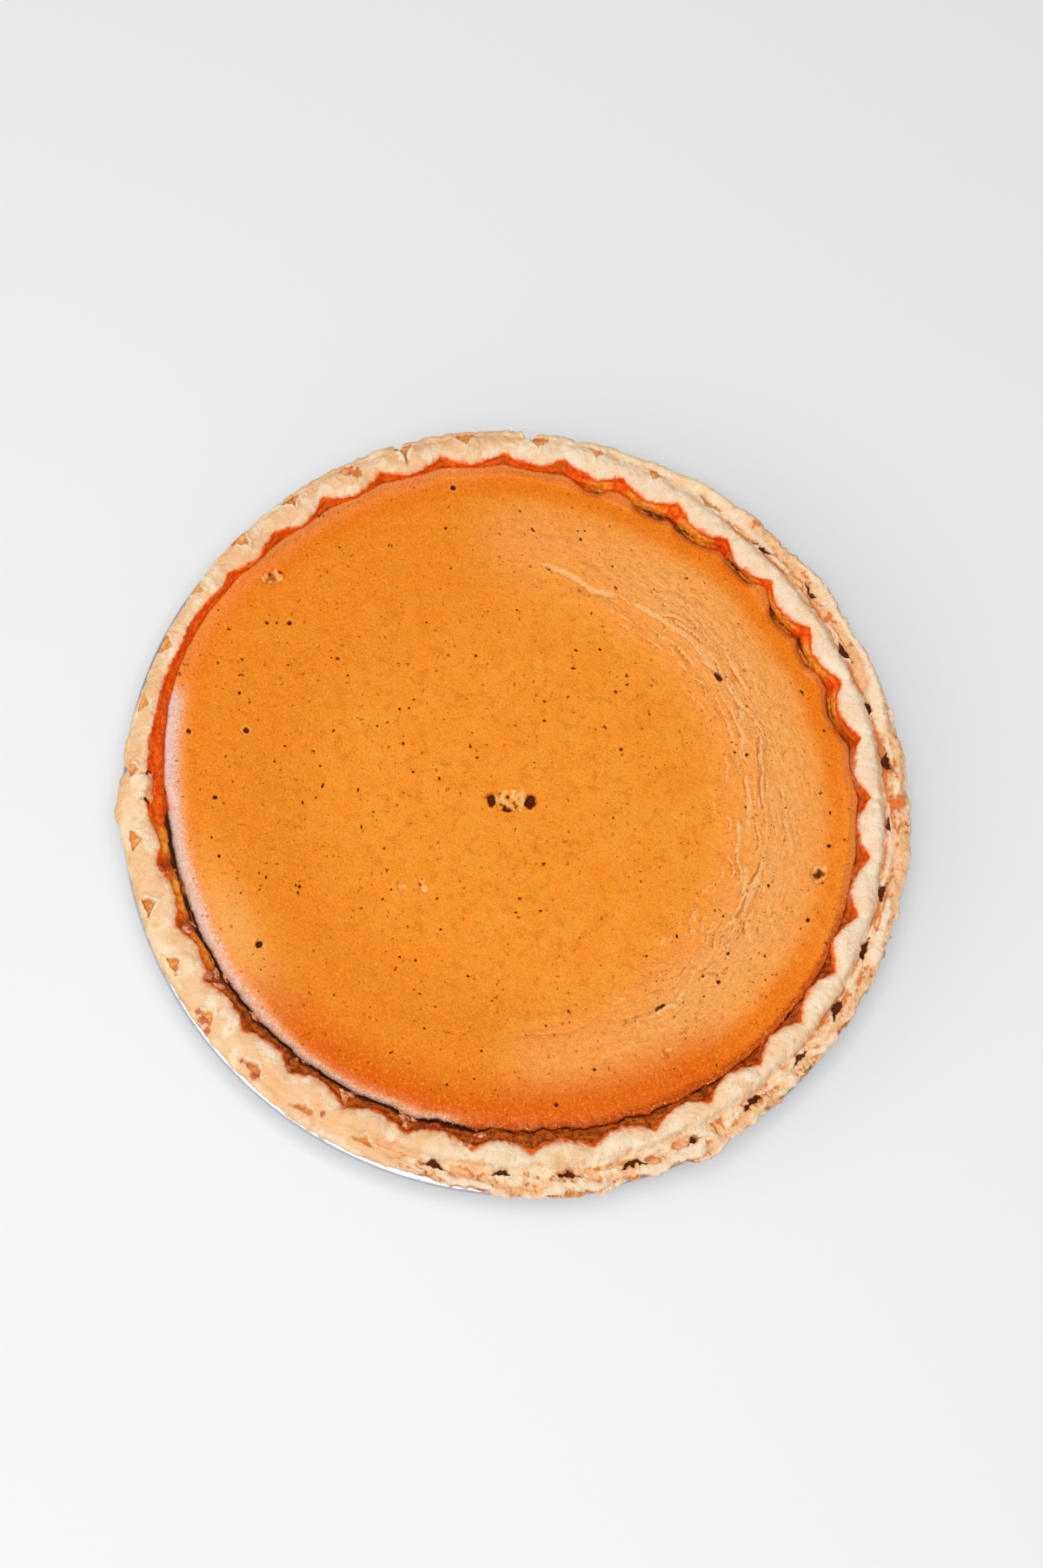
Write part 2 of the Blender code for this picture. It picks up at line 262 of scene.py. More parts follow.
def newGroup(name, inputs, outputs, kind="ShaderNodeTree"):
    tree = bpy.data.node_groups.new(name, kind)
    for label, socketKind, value in inputs:
        socket = tree.interface.new_socket(label, in_out="INPUT", socket_type=socketKind)
        if value is not None:
            socket.default_value = value
    for label, socketKind in outputs:
        tree.interface.new_socket(label, in_out="OUTPUT", socket_type=socketKind)
    return tree, add(tree, "NodeGroupInput").outputs, add(tree, "NodeGroupOutput")


def useGroup(tree, group, inputs):
    return add(tree, "ShaderNodeGroup", inputs, node_tree=group).outputs


def brokenEdgeGroup():  # a soft mask whose edge is broken up by noise, as baked stains are
    sockets = [("Place", "NodeSocketVector", None), ("Mask", "NodeSocketFloat", 0.0)]
    sockets += [("Size", "NodeSocketFloat", 1.0), ("Break", "NodeSocketFloat", 0.5)]
    sockets += [("Soft", "NodeSocketFloat", 0.2)]
    tree, given, result = newGroup("brokenEdge", sockets, [("Mask", "NodeSocketFloat")])
    edgeValue = 0.42  # the mask's value at the stain's edge
    scale = calc(tree, "DIVIDE", 1000.0, given["Size"])
    inputs = {"Vector": given["Place"], "Scale": scale, "Detail": 3.0, "Roughness": 0.6}
    grain = add(tree, "ShaderNodeTexNoise", inputs).outputs["Fac"]
    shift = times(tree, calc(tree, "SUBTRACT", grain, 0.5), given["Break"])
    moved = plus(tree, given["Mask"], times(tree, shift, 2.0))
    low = calc(tree, "SUBTRACT", edgeValue, given["Soft"])
    kept = softStep(tree, moved, low, plus(tree, edgeValue, given["Soft"]))
    feed(tree, result, {0: times(tree, kept, softStep(tree, given["Mask"], 0.0, 0.2))})
    return tree


def specksGroup():  # small uneven dots, one in some of the cells of a loose grid
    sockets = [("Place", "NodeSocketVector", None), ("Cell", "NodeSocketFloat", 2.0)]
    sockets += [("Radius", "NodeSocketFloat", 0.3), ("Share", "NodeSocketFloat", 0.5)]
    tree, given, result = newGroup("spiceSpecks", sockets, [("Mask", "NodeSocketFloat")])
    scale = calc(tree, "DIVIDE", 1000.0, given["Cell"])
    place = vectorCalc(tree, "ADD", given["Place"], shake(tree, given["Place"], 1100.0, 0.0022))
    cells = add(tree, "ShaderNodeTexVoronoi", {"Vector": place, "Scale": scale})
    luck = add(tree, "ShaderNodeSeparateColor", {0: cells.outputs["Color"]})
    away = times(tree, cells.outputs["Distance"], given["Cell"])
    reach = times(tree, given["Radius"], plus(tree, luck.outputs[1], 0.5))
    dot = calc(tree, "SUBTRACT", 1.0, calc(tree, "DIVIDE", away, reach), clamp=True)
    chosen = calc(tree, "LESS_THAN", luck.outputs[0], given["Share"])
    feed(tree, result, {0: times(tree, softStep(tree, dot, 0.0, 0.6), chosen)})
    return tree


def grainGroup():  # height and tone of a baked crumb: coarse and fine noise together
    sockets = [("Place", "NodeSocketVector", None), ("Size", "NodeSocketFloat", 1.0)]
    outputs = [("Height", "NodeSocketFloat"), ("Tone", "NodeSocketFloat")]
    tree, given, result = newGroup("bakedGrain", sockets, outputs)
    scale = calc(tree, "DIVIDE", 1000.0, given["Size"])
    near = {"Vector": given["Place"], "Scale": scale, "Detail": 4.0, "Roughness": 0.65}
    fine = add(tree, "ShaderNodeTexNoise", near).outputs["Fac"]
    wide = {"Vector": given["Place"], "Scale": calc(tree, "DIVIDE", scale, 5.0), "Detail": 3.0}
    broad = add(tree, "ShaderNodeTexNoise", wide).outputs["Fac"]
    height = plus(tree, fine, times(tree, broad, 0.5))
    feed(tree, result, {0: height, 1: plus(tree, times(tree, fine, 0.4), times(tree, broad, 0.6))})
    return tree


def ringPlaceGroup():  # place on a ring about the middle: the way round, shrunk by Stretch, and the radius
    sockets = [("Place", "NodeSocketVector", None), ("Stretch", "NodeSocketFloat", 0.25)]
    tree, given, result = newGroup("ringPlace", sockets, [("Place", "NodeSocketVector")])
    wrinkleRadius = 0.08  # in metres, where the way round is true
    parts = add(tree, "ShaderNodeSeparateXYZ", {0: given["Place"]}).outputs
    flat = add(tree, "ShaderNodeCombineXYZ", {0: parts[0], 1: parts[1]}).outputs[0]
    radius = vectorCalc(tree, "LENGTH", flat)
    turn = calc(tree, "ARCTAN2", parts[1], parts[0])
    way = times(tree, times(tree, turn, wrinkleRadius), given["Stretch"])
    feed(tree, result, {0: add(tree, "ShaderNodeCombineXYZ", {0: way, 1: radius}).outputs[0]})
    return tree


brokenEdge = brokenEdgeGroup()
ringPlace = ringPlaceGroup()
spiceSpecks = specksGroup()
bakedGrain = grainGroup()


def newMaterial(name):
    material = bpy.data.materials.new(name)
    material.use_nodes = True
    tree = material.node_tree
    place = add(tree, "ShaderNodeTexCoord").outputs["Object"]
    return material, tree, place, tree.nodes["Principled BSDF"]


def bumpTo(tree, shader, height, distance):
    inputs = {"Height": height, "Distance": distance * mm, "Strength": 1.0}
    feed(tree, shader, {"Normal": add(tree, "ShaderNodeBump", inputs).outputs[0]})


def tinted(tree, colour, name, share, tint):  # a tint laid on where a mask says
    return blend(tree, times(tree, mask(tree, name), share), colour, tint)


def stained(tree, place, colour, name, tint, size, uneven, share=1.0, soft=0.2):  # with a broken edge
    inputs = {"Place": place, "Mask": mask(tree, name), "Size": size, "Break": uneven, "Soft": soft}
    return blend(tree, times(tree, useGroup(tree, brokenEdge, inputs)[0], share), colour, tint)


# The form that the press, the oven and the solids give the rim

rimForm = {
    "pressCentre": (-2.0, 1.2),
    "flutes": 36,
    "firstCusp": 2.6,
    "drift": ((30, 50, -0.8), (90, 25, -0.7), (204, 22, 1.0), (262, 8, 0.9), (340, 30, -0.5)),
    "scallop": 3.8,  # a flute's lean over the filling, past the cusps
    "scallopShare": ((200, 30, -0.22), (275, 25, -0.2), (335, 25, 0.1)),
    "pillow": 0.7,
    "groove": 2.2,  # drop outside the band, where the dough was wider
    "grooveSide": (238, 410, 18),
    "tornSide": (256, 410, 8),
    "flutesFade": (149, 184, 8),
    "flutesLeft": 0.12,
    "pocket": 2.8,  # how the filling's edge swells into the cusps
    "pocketShare": ((38, 34, 1.0), (105, 22, 0.35), (265, 30, 0.35)),
    "edgeShift": (
        (357, 9, 0.9), (322, 10, -0.9), (275, 11, -1.0), (86, 13, 1.4), (68, 8, 0.9),
        (157, 16, 1.2), (49, 8, 2.0), (31, 6, -1.6), (18, 4, -1.4),
    ),
    "band": ((42, 15, -1.5), (96, 18, 1.4), (160, 24, 1.0), (258, 24, -0.9), (340, 20, 0.7)),
    "wall": ((26, 27, 3.2), (110, 22, 2.7), (150, 27, 3.2), (326, 26, 3.0)),
    "edge": (
        (0, 6, 0.7), (30, 6, 0.6), (98, 20, 0.8), (145, 18, -1.0), (183, 4.5, 1.9),
        (256, 8, -1.4), (280, 5, 0.9), (298, 5, 0.9), (314, 8, -0.8), (352, 4, 0.9),
        (8, 3, 0.7), (17, 4, 0.5), (38, 4, 0.8), (49, 3, 0.7), (58, 3, 0.7), (174.3, 1.2, 0.7),
        (224, 24, -0.45), (158, 9, -0.8), (275, 14, 0.4),
    ),
    "edgeRadius": 105.7,  # the filling's edge before any shift
    "footRadius": 106.0,  # the crust's wall at the filling, before any shift
    # from, to and fade: where the filling shrank from the crust, and where its edge crumbled
    "gapLeft": (184, 262, 5),
    "gapRight": (14, 76, 5),
    "crumbled": (258, 325, 8),
    "notches": ((88.4, 1.1, 2.6), (108.6, 0.8, 1.2), (177.4, 0.8, 1.5), (81.2, 0.6, 0.7)),
    "lifts": ((181, 3.5, 1.0), (248, 2.5, 0.6)),
}
fluteSizes = np.random.default_rng(8).uniform(0.86, 1.1, rimForm["flutes"])


def fluteNumber(angle):
    return (angle - rimForm["firstCusp"] - bumps(angle, rimForm["drift"])) * rimForm["flutes"] / 360


def waveAt(angle):  # 0 at a cusp between two flutes, 1 at a flute's middle
    return np.abs(np.sin(math.pi * fluteNumber(angle)))


def lobeAt(angle):  # the same, less where the press left the flutes weak
    sizes = fluteSizes[np.floor(fluteNumber(angle)).astype(int) % rimForm["flutes"]]
    left = 1 - (1 - rimForm["flutesLeft"]) * stretch(angle, *rimForm["flutesFade"])
    return left * sizes * (1 + bumps(angle, rimForm["scallopShare"])) * waveAt(angle)


def pocketAt(angle):
    share = np.minimum(bumps(angle, rimForm["pocketShare"]), 1)
    return share * (rimForm["pocket"] * (1 - waveAt(angle)) ** 1.2 - 0.4 * rimForm["pocket"])


def droppedAt(angle):
    return stretch(angle, *rimForm["grooveSide"])


def gapShare(angle):  # where the filling shrank from the crust and left a crack
    left = stretch(angle, *rimForm["gapLeft"])
    right = stretch(angle, *rimForm["gapRight"]) * ramp(ringNoise(angle, angle * 0, 15, 1, 43), -0.45, 0.0)
    return np.maximum(left, right)


def fillingEdge(angle):  # radius about the press centre at which the filling's top ends
    edge = rimForm["edgeRadius"] + bumps(angle, rimForm["band"]) + bumps(angle, rimForm["wall"])
    edge += pocketAt(angle)
    edge += bumps(angle, rimForm["edgeShift"])
    ragged = 0.4 * ringNoise(angle, angle * 0, 8, 1, 41) + 0.3 * ringNoise(angle, angle * 0, 3.5, 1, 42)
    ragged += 0.15 * ringNoise(angle, angle * 0, 1.6, 1, 44)
    opened = gapShare(angle)
    rough = 0.35 + 0.65 * opened + 1.2 * stretch(angle, *rimForm["crumbled"])
    return edge + 0.35 - 0.7 * opened + ragged * rough


def wallFoot(angle):  # radius of the crust's wall where the filling's top meets it
    return fillingEdge(angle) - 0.35 + 1.3 * gapShare(angle)


# Foil tin

tinLook = {
    "steps": 1440,
    "pleats": 120,
    "pleatDepth": 0.6,
    "pleatSway": 0.012,
    "pleatPower": 0.6,  # under 1 makes the folds squarer than a sine
    "ribs": 720,  # fine crimps on the rolled rim
    "ribDepth": 0.16,
    "railRadius": 100.0,
    # radius and height inside, from the middle of the floor to the flange
    "inside": (
        (0, 0.6), (60, 0.6), (90, 0.6), (92.4, 0.8), (93.9, 1.5), (94.6, 2.3),
        (98, 7.6), (102.5, 14.8), (107, 21.9), (110.5, 27.4), (112, 29.6), (113, 30.6),
    ),
    "rollCentre": (121.2, 29.3),
    "rollRadius": 1.3,
    "rollSteps": 12,
    # the same outside, from under the rolled rim to the middle of the base
    "outside": (
        (119.9, 30), (113.3, 30), (112.6, 29.3), (111.1, 27.2), (107.6, 21.7), (103.1, 14.6),
        (98.6, 7.4), (95.2, 1.9), (94.4, 0.9), (92.9, 0.2), (91.2, 0), (60, 0), (0, 0),
    ),
    # where pleats and ribs fade in: heights, then radii
    "aboveBase": (1.2, 5.0),
    "belowFlange": (29.7, 27.0),
    "insideFlange": (114.0, 112.8),
    "onRoll": (120.4, 121.6),
    "foilColour": paint(212, 214, 219),
    "roughness": 0.36,
}


def tinSection():  # from the middle of the floor, over the rolled rim, to under the base
    centreRadius, centreHeight = tinLook["rollCentre"]
    size = tinLook["rollRadius"]
    roll = []
    for i in range(tinLook["rollSteps"] + 1):
        turn = math.radians(90 - 210 * i / tinLook["rollSteps"])
        roll.append((centreRadius + size * math.cos(turn), centreHeight + size * math.sin(turn)))
    return [*tinLook["inside"], *roll, *tinLook["outside"]]


def tinTree():
    wanted = (
        ("Section", "NodeSocketGeometry", None),
        ("Rail", "NodeSocketFloat", tinLook["railRadius"] * mm),
        ("Steps", "NodeSocketInt", tinLook["steps"]),
        ("Pleats", "NodeSocketInt", tinLook["pleats"]),
        ("Pleat Depth", "NodeSocketFloat", tinLook["pleatDepth"] * mm),
        ("Ribs", "NodeSocketInt", tinLook["ribs"]),
        ("Rib Depth", "NodeSocketFloat", tinLook["ribDepth"] * mm),
        ("Finish", "NodeSocketMaterial", None),
    )
    outputs = [("Tin", "NodeSocketGeometry")]
    tree, given, result = newGroup("pleatedTin", wanted, outputs, "GeometryNodeTree")

    def fade(value, name):
        low, high = tinLook[name]
        return softStep(tree, value, low * mm, high * mm)

    profile = add(tree, "GeometryNodeMeshToCurve", {"Mesh": given["Section"]}).outputs[0]
    inputs = {"Resolution": given["Steps"], "Radius": given["Rail"]}
    rail = add(tree, "GeometryNodeCurvePrimitiveCircle", inputs).outputs[0]
    inputs = {"Curve": rail, "Profile Curve": profile}
    swept = add(tree, "GeometryNodeCurveToMesh", inputs).outputs[0]
    inputs = {"Geometry": swept, "Distance": 0.00001}
    joined = add(tree, "GeometryNodeMergeByDistance", inputs).outputs[0]
    place = add(tree, "GeometryNodeInputPosition").outputs[0]
    parts = add(tree, "ShaderNodeSeparateXYZ", {0: place}).outputs
    turn = calc(tree, "ARCTAN2", parts[1], parts[0])
    flat = add(tree, "ShaderNodeCombineXYZ", {0: parts[0], 1: parts[1]}).outputs[0]
    radius = vectorCalc(tree, "LENGTH", flat)
    outward = vectorCalc(tree, "NORMALIZE", flat)
    onWall = times(tree, fade(parts[2], "aboveBase"), fade(parts[2], "belowFlange"))
    onWall = times(tree, onWall, fade(radius, "insideFlange"))
    inputs = {"Vector": place, "Scale": 55.0, "Detail": 1.0}
    swirl = add(tree, "ShaderNodeTexNoise", inputs).outputs["Fac"]
    sway = times(tree, calc(tree, "SUBTRACT", swirl, 0.5), tinLook["pleatSway"])
    wave = calc(tree, "SINE", times(tree, plus(tree, turn, sway), given["Pleats"]))
    squared = calc(tree, "POWER", calc(tree, "ABSOLUTE", wave), tinLook["pleatPower"])
    fold = plus(tree, times(tree, squared, calc(tree, "SIGN", wave)), 1.0)
    pleat = times(tree, times(tree, fold, 0.5), given["Pleat Depth"])
    rib = times(tree, calc(tree, "SINE", times(tree, turn, given["Ribs"])), given["Rib Depth"])
    push = plus(tree, times(tree, pleat, onWall), times(tree, rib, fade(radius, "onRoll")))
    inputs = {"Geometry": joined, "Offset": scaledVector(tree, outward, push)}
    pleated = add(tree, "GeometryNodeSetPosition", inputs).outputs[0]
    smooth = add(tree, "GeometryNodeSetShadeSmooth", {"Geometry": pleated}).outputs[0]
    real = add(tree, "GeometryNodeRealizeInstances", {"Geometry": smooth}).outputs[0]
    inputs = {"Geometry": real, "Material": given["Finish"]}
    feed(tree, result, {"Tin": add(tree, "GeometryNodeSetMaterial", inputs).outputs[0]})
    return tree


def asPlainMesh(holder, tree, values, name):  # runs a Geometry Nodes tree and keeps a plain mesh piece
    modifier = holder.modifiers.new("nodes", "NODES")
    modifier.node_group = tree
    for item in tree.interface.items_tree:
        if item.in_out == "INPUT" and item.name in values:
            modifier[item.identifier] = values[item.name]
    bpy.context.view_layer.update()
    evaluated = holder.evaluated_get(bpy.context.evaluated_depsgraph_get())
    mesh = bpy.data.meshes.new_from_object(evaluated)
    mesh.name = name
    piece = bpy.data.objects.new(name, mesh)
    scene.collection.objects.link(piece)
    bpy.data.objects.remove(holder)
    return piece


def foilMaterial():
    material, tree, place, shader = newMaterial("pressedFoil")
    inputs = {"Vector": place, "Scale": 160.0}
    creases = add(tree, "ShaderNodeTexVoronoi", inputs, feature="DISTANCE_TO_EDGE")
    crease = softStep(tree, creases.outputs["Distance"], 0.0, 0.12)
    grain = noiseNode(tree, place, 2.5, 3.0)
    dull = noiseNode(tree, place, 9.0, 3.0)
    colour = blend(tree, dull, paint(205, 207, 212), tinLook["foilColour"])
    roughness = plus(tree, times(tree, dull, 0.16), tinLook["roughness"] - 0.05)
    feed(tree, shader, {"Base Color": colour, "Roughness": roughness, "Metallic": 1.0})
    bumpTo(tree, shader, plus(tree, times(tree, crease, 0.35), grain), 0.12)
    return material


def makeTin():
    section = tinSection()
    rail = tinLook["railRadius"]
    mesh = bpy.data.meshes.new("tinSection")
    # The sweep turns Y down
    points = [((radius - rail) * mm, -height * mm, 0) for radius, height in section]
    mesh.from_pydata(points, [(i, i + 1) for i in range(len(points) - 1)], [])
    holder = bpy.data.objects.new("tinSection", mesh)
    scene.collection.objects.link(holder)
    tin = asPlainMesh(holder, tinTree(), {"Finish": foilMaterial()}, "pieTinFoil")
    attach(tin, "root")
    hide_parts("pie_tin")
    return tin


# Pastry crust

crustLook = {
    "spacing": 1.2,
    # radius and height, then shares: scallop, pillow, press centring, groove, ragged edge
    # and pull of the wall's foot
    "section": (
        (102.5, 27.0, 0, 0, 0.8, 0, 0, 0.8),
        (106.0, 33.0, 0, 0, 1, 0, 0, 1),
        (107.4, 35.3, 0.23, 0, 1, 0, 0, 0.77),
        (110.9, 36.9, 0.8, 0, 1, 0, 0, 0.2),
        (112.2, 38.0, 1, 0.3, 1, 0, 0, 0),
        (113.0, 38.8, 0.85, 0.7, 1, 0, 0, 0),
        (114.2, 39.15, 0.55, 1, 1, 0, 0, 0),
        (115.6, 39.1, 0.2, 1, 1, 0.05, 0, 0),
        (117.2, 38.5, 0, 0.5, 1, 0.8, 0, 0),
        (118.6, 38.1, 0, 0.4, 0.7, 1, 0.2, 0),
        (120.3, 37.9, 0, 0.3, 0.35, 0.7, 0.5, 0),
        (121.5, 37.2, 0, 0.1, 0.1, 0.4, 0.9, 0),
        (122.1, 36.1, 0, 0, 0, 0.3, 1, 0),
        (122.2, 33.2, 0, 0, 0, 0, 1, 0),
        (121.3, 31.2, 0, 0, 0, 0, 0.6, 0),
        (117.0, 30.95, 0, 0, 0, 0, 0, 0),
    ),
    "lip": 4,  # the section point where the band's inner edge turns down
    "bandEnd": 8,
    # radius and height of the hidden rings: wall's foot and floor inside, then flange, foot and base outside
    "inside": ((91.2, 6.5), (87.5, 4.5)),
    "outside": ((111.1, 29.9), (93.7, 2.42), (91.5, 0.9)),
    "wallRun": (14.6, 26.5),  # how far the inner wall leans out over its height
    "markRadius": 117.9,
    "markShift": ((36, 5, 1.8), (8, 5, 1.6), (292, 14, 1.7), (262, 6, -0.4)),  # where they lie further out
    "markDrift": ((27, 13, -1.0), (196, 15, 1.7), (98, 4, 0.8), (87, 4, -1.0)),
    "markPress": 0.65,
    "markWidth": (6.8, 8.8),  # plain side, groove side
    "markLength": (3.6, 2.1),
    "markFloor": (36.0, 33.8),
    "flapCentre": (-118.6, -0.7),
    "flapHalf": (6.0, 4.5),
    "seed": 11,
    "zones": {  # from, to and fade in degrees
        "flakes": (246, 330, 16),
        "crease": (247, 412, 5),
        "toastedCrease": (322, 412, 12),
        "swollenRidge": (352, 420, 14),
        "roughWall": (186, 380, 12),
        "redTopLeft": (136, 184, 5),
        "redTop": (80, 134, 6),
        "redRight": (338, 372, 8),
        "goldLeft": (188, 247, 5),
        "goldRight": (16, 78, 7),
        "pooled": (250, 334, 9),
        "brownCusps": (188, 250, 4),
        "brownWall": (218, 262, 8),
        "darkGap": (186, 322, 5),
        "thinGap": (14, 78, 5),
        "darkMarks": (259, 412, 5),
        "baked": (95, 250, 20),
        "paintedLightBand": (340, 440, 15),
        "shreds": (186, 262, 4),
    },
}
crustRows = np.array(crustLook["section"])
crustSteps = np.hypot(np.diff(crustRows[:, 0]), np.diff(crustRows[:, 1]))
crustLength = np.concatenate([[0], np.cumsum(crustSteps)])
lipAt = crustLength[crustLook["lip"]]
bandEndAt = crustLength[crustLook["bandEnd"]]

# Cracks in the crust: world points, half width and depth
crustCracks = (
    (((-36.2, 109.0), (-37.2, 112.4), (-38.6, 114.6), (-38.5, 118.0), (-39.9, 122.6)), 0.5, 1.9),
    (((-99.8, 46.8), (-103.4, 47.4), (-106.0, 49.6), (-109.8, 50.0)), 0.22, 0.9),
    (((115.2, -5.6), (117.4, -4.3), (119.6, -4.4), (123.0, -2.6)), 0.35, 1.1),
)
# Reddish baked spots on the band: world place and reach
crustSpots = (
    (-96.0, -72.5, 1.5), (-94.6, -75.6, 1.0), (-97.6, -70.0, 0.9), (-80.2, -89.0, 1.3),
    (-84.2, -84.6, 0.7), (-59.6, -100.0, 0.9),
)


def sectionAt(t):
    return [curveThrough(t, crustLength, crustRows[:, column]) for column in range(crustRows.shape[1])]


def notchAt(angle):
    cut = np.zeros_like(angle)
    for centre, halfWidth, depth in rimForm["notches"]:
        away = np.abs((angle - centre + 180) % 360 - 180)
        cut = np.maximum(cut, depth * (1 - ramp(away, halfWidth * 0.6, halfWidth * 1.15)))
    return cut


def plainCrust(angle, t):  # radius, height and press share of the skin before its marks and roughness
    radius, height, scallop, pillow, press, groove, edge, foot = sectionAt(t)
    lobe = lobeAt(angle)
    radius = radius + bumps(angle, rimForm["band"]) * (press - foot) + bumps(angle, rimForm["edge"]) * edge
    radius += (wallFoot(angle) - rimForm["footRadius"]) * foot
    radius -= rimForm["scallop"] * lobe * scallop + notchAt(angle) * edge
    height = height + rimForm["pillow"] * lobe * pillow - rimForm["groove"] * groove * droppedAt(angle)
    height += bumps(angle, rimForm["lifts"]) * np.maximum(pillow, groove)
    return radius, height, press


def onPlan(angle, radius, press):
    turn = np.radians(angle)
    x = rimForm["pressCentre"][0] * press + radius * np.cos(turn)
    y = rimForm["pressCentre"][1] * press + radius * np.sin(turn)
    return x, y


def fromPlan(x, y):  # angle and radius about the press centre
    dx = x - rimForm["pressCentre"][0]
    dy = y - rimForm["pressCentre"][1]
    return np.degrees(np.arctan2(dy, dx)) % 360, np.hypot(dx, dy)


def markShape(angle, x, y):
    # Distance to the rim of the nearest stamp mark, inside negative, and how far out of its middle
    rng = np.random.default_rng(crustLook["seed"])
    count = rimForm["flutes"]
    wobble = rng.uniform(-1, 1, (6, count))
    pitch = 360 / count
    number = np.floor(fluteNumber(angle)).astype(int) % count
    middle = rimForm["firstCusp"] + (number + 0.5) * pitch
    middle = middle + bumps(middle, crustLook["markDrift"])
    dropped = droppedAt(middle)
    wide, long = crustLook["markWidth"], crustLook["markLength"]
    width = (wide[0] + (wide[1] - wide[0]) * dropped) * (1 + 0.16 * wobble[0][number])
    length = (long[0] + (long[1] - long[0]) * dropped) * (1 + 0.25 * wobble[1][number])
    radius = crustLook["markRadius"] + bumps(middle, rimForm["band"]) * 0.6 + 0.4 * wobble[2][number]
    radius += bumps(middle, crustLook["markShift"])
    centreX, centreY = onPlan(middle + 0.4 * wobble[3][number], radius, crustLook["markPress"])
    turn = np.radians(middle + 8 * wobble[4][number])
    v = (x - centreX) * np.cos(turn) + (y - centreY) * np.sin(turn)
    u = -(x - centreX) * np.sin(turn) + (y - centreY) * np.cos(turn)
    side = np.hypot(length, width / 2)
    slant = (np.abs(u) * length - (v + 0.6 * length) * width / 2) / side
    slant += 0.6 * noiseAt(x / 1.7, y / 1.7, 31) + 0.2 * noiseAt(x / 0.7, y / 0.7, 33)
    base = v - 0.4 * length + 0.55 * noiseAt(x / 1.5, y / 1.5, 32)
    faint = np.where(stretch(middle, *rimForm["flutesFade"]) > 0.5, 0.45, 1.0)
    depth = faint * (0.85 + 0.3 * wobble[5][number])
    return np.maximum(slant, base), v, dropped, depth


